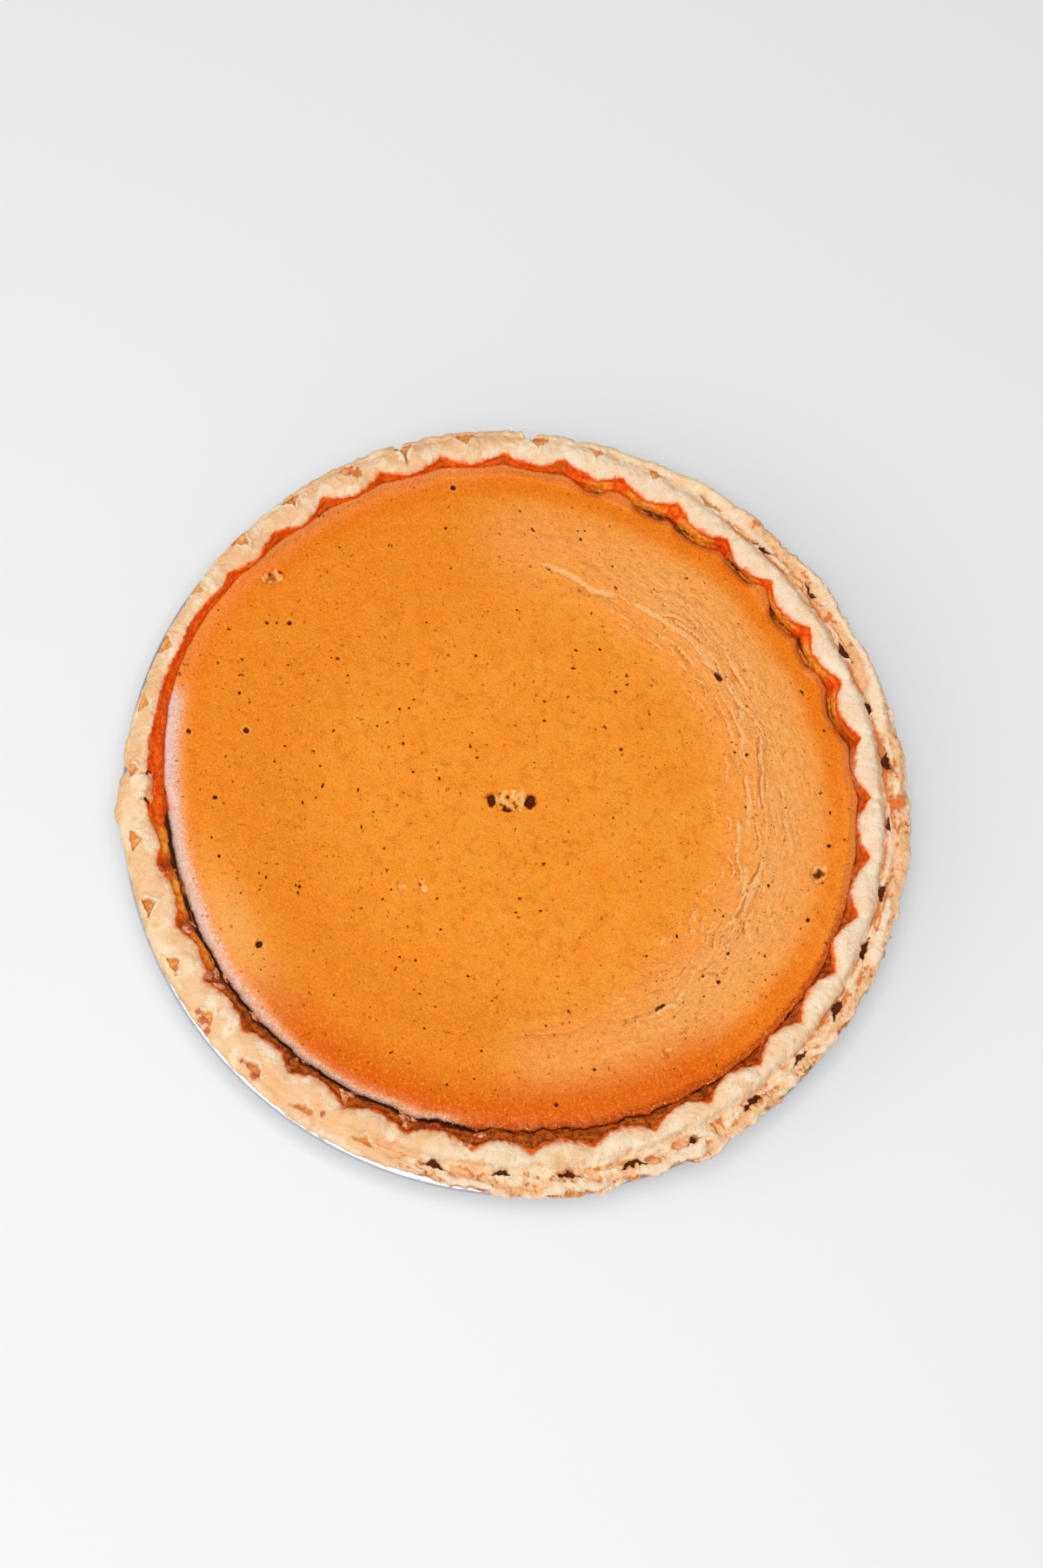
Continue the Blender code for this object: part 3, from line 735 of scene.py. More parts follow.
def crustSurface(angle, t):  # points of the crust's skin and its colour masks
    radius, height, press = plainCrust(angle, t)
    ahead = plainCrust(angle, t + 0.15)
    behind = plainCrust(angle, t - 0.15)
    runR = ahead[0] - behind[0]
    runZ = ahead[1] - behind[1]
    run = np.maximum(np.hypot(runR, runZ), 1e-6)
    x, y = onPlan(angle, radius, press)
    dropped = droppedAt(angle)
    edge = sectionAt(t)[6]
    flat = t * 0

    def within(name):
        return stretch(angle, *crustLook["zones"][name])

    # Uneven dough
    seen = ramp(t, crustLength[1], crustLength[3]) * (1 - ramp(t, crustLength[13], crustLength[14]))
    small = 0.34 * noiseAt(x / 3.2, y / 3.2, 2) + 0.22 * noiseAt(x / 1.5, y / 1.5, 3)
    small += 0.1 * noiseAt(x / 0.8, y / 0.8, 63)
    push = 0.45 * ringNoise(angle, t, 9, 6, 1) + small
    dents = ramp(noiseAt(x / 2.3, y / 2.3, 54), 0.3, 0.75) * bell(t - crustLength[7] - 0.5, 2.6)
    push -= 0.42 * dents
    nearLip = bell(t - lipAt, 2.4)
    push += nearLip * (0.32 * ringNoise(angle, t, 4, 3, 46) + 0.2 * ringNoise(angle, t, 1.8, 2, 47))
    push += edge * (1 - dropped) * 0.3 * ringNoise(angle, t, 5, 3, 10)

    # Torn layers outside the band: flakes below, long thin leaves at the right
    outside = ramp(t, bandEndAt - 0.2, bandEndAt + 1.2)
    tornSide = stretch(angle, *rimForm["tornSide"])
    torn = outside * tornSide * (1 - ramp(t, crustLength[13], crustLength[14]))
    flaky = within("flakes")
    warp = 0.7 * ringNoise(angle, t, 5, 3, 55)
    flakes = ringNoise(angle + warp, t + warp, 8, 2.6, 4) + 0.55 * ringNoise(angle, t + warp, 3.4, 1.5, 6)
    leaves = 1.2 * ringNoise(angle, t + 0.6 * warp, 26, 2.0, 5) + 0.35 * ringNoise(angle, t, 5, 1.4, 9)
    layers = flaky * flakes + (1 - flaky) * leaves
    split = bell(layers + 0.12, 0.07) * ramp(ringNoise(angle, t, 11, 3, 56), -0.35, 0.15)
    terrace = layers + 0.25 * np.tanh((layers + 0.12) / 0.05)
    push += torn * (0.85 * terrace + 0.3 * ringNoise(angle, t, 1.7, 1.0, 8) - 0.7 * split)
    ragged = 0.75 * ringNoise(angle, flat, 13, 1, 48) + 0.5 * ringNoise(angle, t, 5, 4, 49)
    ragged += 0.3 * ringNoise(angle, t, 2, 2, 50)
    radius = radius + edge * tornSide * ragged
    push *= seen

    swollen = within("swollenRidge") * bell(t - crustLength[11] + 0.4, 1.3)
    push += swollen * (1.3 + 0.9 * ringNoise(angle, flat, 9, 1, 60))

    # The crease that parts the band from the torn layers
    wander = bandEndAt + 0.3 + 0.5 * ringNoise(angle, flat, 9, 1, 12)
    wander += 0.7 * bumps(angle, crustLook["markShift"])
    openShare = 0.3 + 0.7 * ramp(ringNoise(angle, flat, 12, 1, 13), -0.4, 0.4)
    crease = bell(t - wander, 0.45) * within("crease") * openShare
    drop = 1.5 * crease

    # Stamp marks, with the dough they pushed up along their slanted sides
    away, v, markDropped, depth = markShape(angle, x, y)
    onTop = (t > crustLength[6]) & (t < crustLength[12])
    away = away - 0.15 * markDropped
    inside = ramp(-away, -0.1, 0.55) * onTop
    plainFloor, groovedFloor = crustLook["markFloor"]
    floor = plainFloor + (groovedFloor - plainFloor) * markDropped
    bare = height - drop
    sunk = bare + (floor + 0.3 * noiseAt(x / 1.4, y / 1.4, 14) - bare) * np.clip(depth, 0, 1)
    sunk = np.minimum(sunk, bare)
    ridge = bell(away - 0.6, 0.5) * ramp(-v, -1.2, 0.2) * (t > crustLength[5]) * (t < crustLength[11])
    lumpy = np.clip(0.75 + 0.9 * noiseAt(x / 2.6, y / 2.6, 15), 0.1, 1.4)
    ridge *= lumpy * depth * (0.85 - 0.3 * markDropped)
    drop = drop + (bare - sunk) * inside - ridge

    # Cracks, with painted shade down in them
    cut = np.zeros_like(t)
    for points, halfWidth, deep in crustCracks:
        gap, along = nearLine(x, y, points, 2.5)
        gap = np.abs(gap + 0.2 * noiseAt(x / 0.8, y / 0.8, 16))
        tail = ramp(along, -0.15, 0.15) * (1 - ramp(along, 0.9, 1.1))
        here = bell(gap, halfWidth) * tail * (t > crustLength[3])
        drop += deep * here
        cut = np.maximum(cut, here * ramp(deep, 0.5, 2.0))

    # A flap that broke off and was put back, its ragged inner end over the filling's stain
    flapX, flapY = crustLook["flapCentre"]
    halfX, halfY = crustLook["flapHalf"]
    flapEdge = np.maximum(np.abs(x - flapX) - halfX, np.abs(y - flapY) - halfY)
    flapEdge += 1.5 * noiseAt(x / 2.6, y / 2.6, 17) + 0.6 * noiseAt(x / 1.0, y / 1.0, 18)
    aboveWall = (t > crustLength[3]) & (t < crustLength[13])
    innerEnd = ramp(x, flapX + 0.5, flapX + 3.5)
    lifted = ramp(-flapEdge, 0, 0.5) * aboveWall
    drop -= 1.1 * lifted * (0.25 + 0.75 * innerEnd)
    outerCorner = 0.8 * (x < flapX - 3) * (y > flapY)
    # Painted shade along the flap's broken edge
    around = bell(flapEdge - 0.2, 0.35) * aboveWall * np.maximum(innerEnd, outerCorner)
    drop += 0.9 * around
    cut = np.maximum(cut, 0.8 * around)

    radius = radius - push * runZ / run
    height = height + push * runR / run - drop
    onWall = ramp(t, crustLength[1] - 1, crustLength[1] + 0.5) * (1 - ramp(t, lipAt - 1.2, lipAt))
    rough = 0.25 + 0.75 * within("roughWall")
    coarse = 0.5 * ringNoise(angle, t, 4, 2, 19)
    radius -= onWall * rough * (coarse + 0.25 * ringNoise(angle, t, 1.7, 1.2, 45))
    x, y = onPlan(angle, radius, press)

    # Stains that the filling left: red where it is thin, gold lower on the left and brown where it pooled
    cusp = bell(waveAt(angle), 0.5) * (1 - 0.8 * stretch(angle, *rimForm["flutesFade"]))
    bleed = 0.55 * ringNoise(angle, flat, 5, 1, 20) + 0.35 * ringNoise(angle, flat, 1.8, 1, 21)
    inner = 1 - ramp(t, lipAt - 1.4 + bleed, lipAt + 0.1 + bleed)
    broad = 1 - ramp(t, lipAt - 0.6 + bleed, lipAt + 1.4 + bleed)
    line = bell(t - lipAt + 0.6 - bleed, 1.0)
    topLeft = within("redTopLeft")
    top = within("redTop")
    golden = within("goldLeft") + within("goldRight")
    pooled = within("pooled")
    right = within("redRight")
    sides = top * (0.75 + 0.25 * cusp) + right * (0.45 + 0.55 * cusp)
    red = 1.3 * broad * topLeft + np.maximum(inner, line) * sides
    goldenLine = line * (0.55 + 0.35 * cusp) * golden
    pooledLine = line * (0.55 + 0.3 * cusp) * pooled
    red += inner * golden * cusp * 0.9 + goldenLine + pooledLine
    seep = ramp(t, lipAt - 2.0, lipAt - 0.6)
    seep *= 1 - ramp(t, lipAt - 0.4 + 1.5 * bleed, lipAt + 1.9 + 1.5 * bleed)
    seep *= np.clip(0.55 + 0.45 * cusp + 0.5 * topLeft, 0, 1)
    gold = inner * golden * (1 - 0.8 * cusp)
    brown = inner * pooled * (1 - 0.8 * line) + 0.4 * inner * right * (1 - 0.6 * line)
    # Painted shade: a dark line down in the gap where the filling shrank from the wall
    deep = ramp(crustLength[2] - 0.4 - t, 0, 0.9) * within("darkGap")
    deep *= ramp(ringNoise(angle, t, 7, 2, 65), -0.7, 0.1)
    thin = ramp(crustLength[2] - 1.1 - t, 0, 0.6) * within("thinGap")
    deep = np.maximum(deep, 0.52 * thin * ramp(ringNoise(angle, t, 9, 2, 68), -0.4, 0.3))
    brown += inner * within("brownCusps") * cusp * 0.5 + 0.35 * inner * top * cusp
    brown += 0.8 * inner * within("brownWall") * ramp(lipAt - 0.4 - t, 0, 1.4)
    dark = within("darkMarks")
    low = 1 - ramp(layers, -0.45, 0.15)
    # Real browning on the crease, the patches and the outer face, with painted shade in the low layers,
    # their splits, the cracks and round the inside of the marks
    toastAndShade = torn * (0.3 * low + 0.8 * split) + 0.9 * cut
    toastAndShade += 1.1 * crease * (0.3 + 0.7 * within("toastedCrease"))
    uneven = 0.9 * noiseAt(x / 1.5, y / 1.5, 66) + 0.5 * noiseAt(x / 0.7, y / 0.7, 67)
    patches = bell(np.hypot(x - 119.6, y - 3.6) + uneven, 2.0) * ramp(t, bandEndAt, bandEndAt + 1)
    patches += bell(np.hypot(x + 52.5, y - 105.0) + uneven, 1.7) * (t > lipAt)
    toastAndShade += 1.3 * patches
    toastAndShade += 0.45 * bell(away + 0.3, 0.35) * onTop * (1 - markDropped)
    toastAndShade += 0.4 * ramp(t, crustLength[11], crustLength[13])
    raised = ramp(layers, 0.1, 0.5)
    blush = np.zeros_like(t)
    for spotX, spotY, reach in crustSpots:
        blush = np.maximum(blush, bell(np.hypot(x - spotX, y - spotY), reach))
    baked = 0.36 * within("baked") - 0.15 + 0.25 * bell(t - bandEndAt, 2.5)
    baked = ramp(0.5 * ringNoise(angle, t, 16, 9, 57) + 0.4 * noiseAt(x / 5, y / 5, 58) + baked, 0, 0.7)
    # Browner torn layers, and painted shade in their low parts and in the dough's dents and hollows
    baked += torn * (0.35 + 0.4 * low) + 0.35 * dents + 0.7 * ramp(-small, 0.08, 0.34)
    # Painted light on the band at the right, which also cuts back its browning there
    paintedLightBand = 0.4 * within("paintedLightBand") * (t < bandEndAt - 0.5)
    baked *= 1 - 1.7 * paintedLightBand
    # Painted highlights on the marks' ridges, the raised layers and the dough's bumps, and painted light on
    # the band at the right
    pale = ridge * 1.2 + torn * raised * 0.8 + 0.5 * ramp(small, 0.12, 0.4) + paintedLightBand
    masks = {
        "goldStain": 1.3 * gold,
        "redStain": 1.15 * red * (1 - lifted) + 0.45 * patches,
        "brownStain": 1.25 * brown,
        "toastAndShade": toastAndShade,
        # Painted shade in the cracks, round the flap and in the gap; in the dark stamp marks, dark brown
        # with painted shade
        "holeBrownAndShade": inside * dark * ramp(depth, 0.2, 0.8) + 0.45 * cut + 0.7 * around + deep,
        "seep": seep,
        "blush": blush * (t > crustLength[5]),
        # Painted highlights and painted light
        "pale": pale * (1 - patches),
        "markFloor": inside * (1 - dark),
        "flaky": torn * ramp(ringNoise(angle, t, 9, 3, 61), -0.1, 0.3),
        "shreds": inner * within("shreds") * ramp(cusp, 0.35, 0.75),
        # Real browning, with painted shade in dents, hollows and low layers
        "baked": baked,
        "outer": ramp(t, crustLength[9], crustLength[11]) * (1 - dropped),
    }
    return np.stack([x, y, height], 1), {key: np.clip(value, 0, 1) for key, value in masks.items()}


def crustDetail(x, y):  # how fine the mesh is at a place in the unrolled crust: 0, 1 or 2
    angle = x / crustRound * 360
    level = np.where((y > crustLength[1] - 1.2) & (y < crustLength[14] - 0.5), 1, 0)
    radius, _, press = plainCrust(angle, y)
    planX, planY = onPlan(angle, radius, press)
    away = markShape(angle, planX, planY)[0]
    onTop = (y > crustLength[6]) & (y < crustLength[12])
    level = np.where(onTop & (np.abs(away) < 0.75), 2, level)
    for crack in crustCracks:
        gap = nearLine(planX, planY, crack[0], 2.5)[0]
        level = np.where(onTop & (np.abs(gap) < 1.0), 2, level)
    torn = droppedAt(angle) > 0.5
    level = np.where(torn & (y > bandEndAt - 0.3) & (y < bandEndAt + 2.4), 2, level)
    return np.where(np.abs(y - lipAt) < 0.45, 2, level)


crustRound = crustLook["spacing"] * round(2 * math.pi * ringRadius / crustLook["spacing"])  # unrolled
crustStains = (
    # mask, one tint or two that vary, patch size in mm, how broken its edge is, share and softness
    ("toastAndShade", ((220, 124, 54),), 1.5, 0.5, 0.85, 0.2),
    # pale: painted highlights and painted light
    ("pale", ((254, 230, 200),), 1.2, 0.35, 0.7, 0.2),
    ("markFloor", ((216, 138, 58), (248, 184, 112)), 1.2, 0.5, 0.95, 0.2),
    ("goldStain", ((234, 122, 14), (255, 166, 58)), 1.8, 0.3, 1.0, 0.2),
    ("redStain", ((232, 72, 0), (255, 112, 14)), 1.7, 0.5, 1.0, 0.4),
    ("brownStain", ((136, 50, 6), (204, 98, 20)), 1.6, 0.5, 1.0, 0.3),
    ("blush", ((190, 52, 40),), 0.8, 0.9, 0.75, 0.2),
    ("holeBrownAndShade", ((96, 44, 10),), 1.4, 0.4, 1.0, 0.2),
)


def crustMaterial():
    material, tree, place, shader = newMaterial("bakedPastry")
    grain = useGroup(tree, bakedGrain, {"Place": place, "Size": 1.0})
    blotch = softStep(tree, noiseNode(tree, place, 6.0, 4.0, 0.6), 0.35, 0.65)
    colour = blend(tree, blotch, paint(252, 210, 164), paint(255, 232, 198))
    toasted = times(tree, softStep(tree, grain["Tone"], 0.5, 0.66), 0.45)
    colour = blend(tree, toasted, colour, paint(244, 186, 130))
    colour = tinted(tree, colour, "outer", 0.6, paint(255, 222, 168))
    # Real browning with painted shade in the dough's dents and hollows
    colour = stained(tree, place, colour, "baked", paint(244, 182, 122), 2.4, 0.5, 0.6)
    patchy = softStep(tree, noiseNode(tree, place, 1.3, 3.0), 0.25, 0.7)
    seeped = times(tree, mask(tree, "seep"), patchy)
    colour = blend(tree, times(tree, seeped, 0.95), colour, paint(250, 150, 66))
    varied = softStep(tree, noiseNode(tree, place, 1.6, 3.0), 0.35, 0.65)
    for name, tints, size, uneven, share, soft in crustStains:
        tint = paint(*tints[0])
        if len(tints) == 2:
            tint = blend(tree, varied, tint, paint(*tints[1]))
        colour = stained(tree, place, colour, name, tint, size, uneven, share, soft)
    wet = calc(tree, "MAXIMUM", mask(tree, "brownStain"), mask(tree, "redStain"))
    roughness = calc(tree, "SUBTRACT", 0.75, times(tree, wet, 0.25))
    feed(tree, shader, {"Base Color": colour, "Roughness": roughness, "Specular IOR Level": 0.15})
    bumpTo(tree, shader, grain["Height"], 0.6)
    return material


def makeCrust(material):
    spacing = crustLook["spacing"]
    last = crustLength[-1]
    x, y, level = hexPoints(crustRound, last, spacing, 2)
    y = y * (last / y.max())
    keep = level <= crustDetail(x, y)
    keep &= (y > 0.01) & (y < last - 0.01)
    x, y, level = x[keep], y[keep], level[keep]
    x, y = scatterAside(x, y, level, spacing, 0.12, 3)
    ends = np.arange(round(crustRound / spacing)) * spacing
    x = np.concatenate([ends, ends, x]) % crustRound
    y = np.concatenate([ends * 0, ends * 0 + last, y])
    own = np.arange(len(x))
    margin = spacing * 4
    before = x > crustRound - margin
    after = x < margin
    allX = np.concatenate([x, x[before] - crustRound, x[after] + crustRound])
    allY = np.concatenate([y, y[before], y[after]])
    number = np.concatenate([own, own[before], own[after]])
    found = trianglesOf(allX, allY)
    middle = allX[found].mean(1)
    faces = number[found[(middle >= 0) & (middle < crustRound)]]
    points, masks = crustSurface(x / crustRound * 360, y)

    count = len(ends)
    inner = own[:count]
    outer = own[count:2 * count]
    turn = np.radians(ends / crustRound * 360)
    rings = []
    for radius, height in (*crustLook["inside"], *crustLook["outside"]):
        rings.append(np.stack([radius * np.cos(turn), radius * np.sin(turn), turn * 0 + height], 1))
    start = len(points)
    ids = [start + i * count + np.arange(count) for i in range(len(rings))]
    floorTop = start + len(rings) * count
    middles = [[0, 0, crustLook["inside"][-1][1]], [0, 0, crustLook["outside"][-1][1]]]
    points = np.concatenate([points, *rings, middles])
    faces = np.concatenate([
        faces,
        ringFaces(ids[0], inner), ringFaces(ids[1], ids[0]), fanFaces(ids[1], floorTop)[:, ::-1],
        ringFaces(outer, ids[2]), ringFaces(ids[2], ids[3]), ringFaces(ids[3], ids[4]),
        fanFaces(ids[4], floorTop + 1),
    ])
    masks = padded(masks, len(points))
    crust = makeObject("pieCrust", points, faces[:, ::-1], masks, material)  # unrolling mirrors the faces
    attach(crust, "root")
    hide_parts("crust")
    return crust


# Pumpkin filling

fillingLook = {
    "spacing": 1.1,
    "top": (  # radius, height, share of the wrinkles
        (0.0, 33.0, 0),
        (26.0, 33.0, 0),
        (50.0, 33.0, 0),
        (67.0, 33.25, -0.4),
        (71.0, 33.6, 1),
        (73.8, 33.9, -0.7),
        (77.2, 34.2, 0.8),
        (84.0, 34.7, 0),
        (93.0, 34.95, 0),
        (98.0, 34.9, 0),
        (101.5, 34.5, 0),
        (103.6, 33.9, 0),
        (104.7, 33.2, 0),
        (105.4, 32.2, 0),
    ),
    "edgeFit": (98.0, 7.4),  # radius from which the top is stretched to the true edge, and that ring's width
    # height, share of the wall's pull and of the press centring, down the hidden side
    "side": ((31.4, 0.95, 1.0), (29.0, 0.85, 0.9), (23.0, 0.5, 0.6), (6.8, 0, 0)),
    "base": (87.2, 4.8),
    "gap": 0.3,  # to the crust's wall
    "steps": 1440,
    "wrinkle": 0.35,
    "wrinkleSide": (-80, 85, 20),
    "pits": 110,
    "pitReach": 99.0,
    "pitSize": (0.24, 0.52),
    "seed": 5,
    "zones": {  # from, to and fade in degrees
        "risingEdge": (300, 495, 18),
        "mainWrinkles": (-46, 50, 30),
        "roughRim": (215, 330, 14),
        "broken": (258, 325, 8),
        "crumbly": (250, 325, 8),
        "lower": (234, 335, 16),
        "rimRight": (10, 135, 15),
        "rimBelow": (215, 325, 14),
        "ember": (222, 302, 16),
        "dusk": (340, 490, 14),
        "paintedSheen": (166, 258, 8),
        "thinnerSheen": (214, 262, 10),
        "faintSheen": (98, 172, 12),
        "shade": (100, 262, 25),
    },
}
fillingTop = np.array(fillingLook["top"])
topRadius = fillingTop[-1, 0]

# Cracks and creases: world points, half width and depth of the gap, height of the outer lip
fillingCracks = (
    (((-8.0, 79.4), (-0.7, 79.9), (5.4, 79.2)), 0.3, 0.35, 0.15),
    (
        ((5.0, 78.6), (9.5, 77.4), (13.5, 75.8), (17.8, 73.9), (23, 70.2), (28.2, 69), (33.6, 67.6)),
        0.25, 0.35, 0.65,
    ),
    (((33.6, 67.6), (38.5, 65.1), (43, 62.6), (49, 58.6), (54, 55.1), (61.2, 46.4)), 0.25, 0.35, 0.35),
    (((58, 48.5), (61.2, 45.9), (62.6, 43.9)), 0.25, 0.5, 0.35),
    (((62.4, 45.2), (63.9, 43.2), (64.9, 42.2)), 0.7, 1.5, 0.3),
    (((64.9, 42.2), (67.0, 38.6), (69.4, 34.7), (70.2, 31), (68.4, 28.4)), 0.25, 0.5, 0.45),
    (((28.2, 66.9), (36, 61.8), (43.7, 55.8)), 0.3, 0.25, 0.15),
    (((74.5, 20.3), (75.6, 12.5), (75.7, 6.0), (74.9, -0.1)), 0.3, 0.35, 0.4),
    (((69.4, 28.4), (70.2, 22.8), (69.3, 16.1)), 0.3, 0.3, 0.3),
    (((71.4, 9.5), (72.0, 0.5), (70.8, -8.5)), 0.3, 0.25, 0.3),
    (((68.2, -2.3), (68.7, -9.0), (67.1, -15.5)), 0.3, 0.3, 0.3),
    (((65.1, -17.6), (62.3, -22.0), (59.1, -24.2), (55.9, -27.8)), 0.25, 0.35, 0.25),
    (((70.2, -16.4), (70.4, -23.0), (69.1, -29.5), (66.6, -34.6), (62, -38.6)), 0.25, 0.4, 0.35),
    (((59, -33.7), (56.4, -36.2), (52.9, -36.8)), 0.25, 0.3, 0.2),
    (((62.5, -40.6), (58.6, -47.0), (53.6, -52.0), (50.9, -56.6)), 0.25, 0.3, 0.25),
    (
        ((50.9, -56.6), (49.4, -59.6), (47.6, -62.0), (45.0, -63.0), (42.4, -65.0), (38.9, -66.8)),
        0.26, 0.45, 0.35,
    ),
    (((45.6, -62.8), (43.2, -64.0), (42.0, -65.2)), 0.45, 1.0, 0.2),
    (((34.9, -59.7), (32.8, -60.2), (29.6, -61.6), (27.4, -63.4)), 0.24, 0.4, 0.25),
    (
        (
            (35.0, -63.6), (30.4, -65.0), (26, -65.8), (20.0, -70.6), (14.1, -72.8), (4.6, -73.4),
            (-3.6, -74.9),
        ),
        0.24, 0.4, 0.2,
    ),
    (
        (
            (-72.7, 37), (-68.4, 42.2), (-63, 47.5), (-58.6, 52.4), (-53.2, 58.1), (-48.5, 64.6),
            (-41.4, 71),
        ),
        0.35, 0.35, 0.2,
    ),
    (((-18.3, 84.3), (-13.0, 84.4), (-8, 85.2)), 0.25, 0.25, 0.1),
    (((-92.6, -13.8), (-90.9, -18.6), (-88.3, -22.0), (-85.3, -27.5)), 0.2, 0.3, 0.12),
)
# Bubbles that broke: world place and radius
fillingPores = (
    (-21.2, 103.3, 1.1), (-23.5, 89.4, 0.6), (-79.6, -47.9, 1.35), (-102.7, 19.0, 0.9), (-85.0, 19.9, 1.1),
    (-72.3, 55.5, 0.9), (-79.3, 55.3, 0.7), (-76.3, 55.4, 0.5), (-87.4, 32.0, 0.7), (-94.0, -1.9, 0.9),
    (-36.1, 18.1, 0.6), (-32.9, 9.0, 0.6), (-34.4, 29.8, 0.5), (-37.4, 29.3, 0.5), (-44.3, 23.5, 0.5),
    (32.5, 18.8, 0.7), (97.8, -10.8, 0.8), (97.3, 27.1, 0.6), (78.3, -24.3, 0.6), (65.0, -46.5, 0.6),
    (61.9, -55.5, 0.8), (-41.9, -32.1, 0.5), (-67.5, -29.1, 0.7), (-92.3, -20.7, 0.6), (11.4, -95.0, 0.8),
    (-11.4, -78.9, 0.5), (-21.9, -89.6, 0.5), (-53.7, 39.6, 0.5), (-13.5, 47.9, 0.6), (-61.8, 9.9, 0.5),
    (-72.9, 15.7, 0.5), (-25.1, -31.3, 0.5), (-36.5, -50.1, 0.5), (-31.6, -51.0, 0.5), (-23.9, -41.1, 0.5),
    (90.4, -35.1, 0.8),
)
# Torn places: x, y, half length, half width, depth, turn
fillingTears = (
    (-1.7, 1.0, 7.6, 3.9, 1.2, 4),
    (3.9, 0.9, 2.0, 2.7, 3.2, -20),
    (-8.3, 0.9, 1.6, 2.5, 2.8, 10),
    (-3.5, -1.9, 2.2, 1.1, 2.2, 0),
    (-77.8, 70.7, 4.2, 2.6, 1.7, 20),
    (94.6, -20.0, 3.4, 3.0, 1.9, 60),
    (9.6, 77.6, 1.3, 0.6, 2.0, -25),
    (45.3, -78.2, 2.3, 1.5, 1.6, 40),
    (-36.0, -28.3, 1.2, 2.8, 0.8, 22),
    (-29.5, -27.2, 1.3, 3.0, 0.9, 25),
)


def pitPlaces():  # x, y, half width, length against width and turn of the smallest pits
    rng = np.random.default_rng(fillingLook["seed"])
    count = fillingLook["pits"]
    away = fillingLook["pitReach"] * np.sqrt(rng.uniform(0.02, 1, count))
    turn = rng.uniform(0, 2 * math.pi, count)
    smallest, largest = fillingLook["pitSize"]
    size = smallest + (largest - smallest) * rng.random(count) ** 2
    long = rng.uniform(1.0, 2.6, count)
    lean = turn + math.pi / 2 + rng.uniform(-0.9, 0.9, count)
    return np.stack([away * np.cos(turn), away * np.sin(turn), size, long, lean], 1)


smallPits = pitPlaces()


def inTear(x, y, tear):
    centreX, centreY, halfLength, halfWidth, _, turn = tear
    turn = math.radians(turn)
    u = ((x - centreX) * math.cos(turn) + (y - centreY) * math.sin(turn)) / halfLength
    v = (-(x - centreX) * math.sin(turn) + (y - centreY) * math.cos(turn)) / halfWidth
    return np.hypot(u, v) + 0.22 * noiseAt(x / 1.6, y / 1.6, 51)


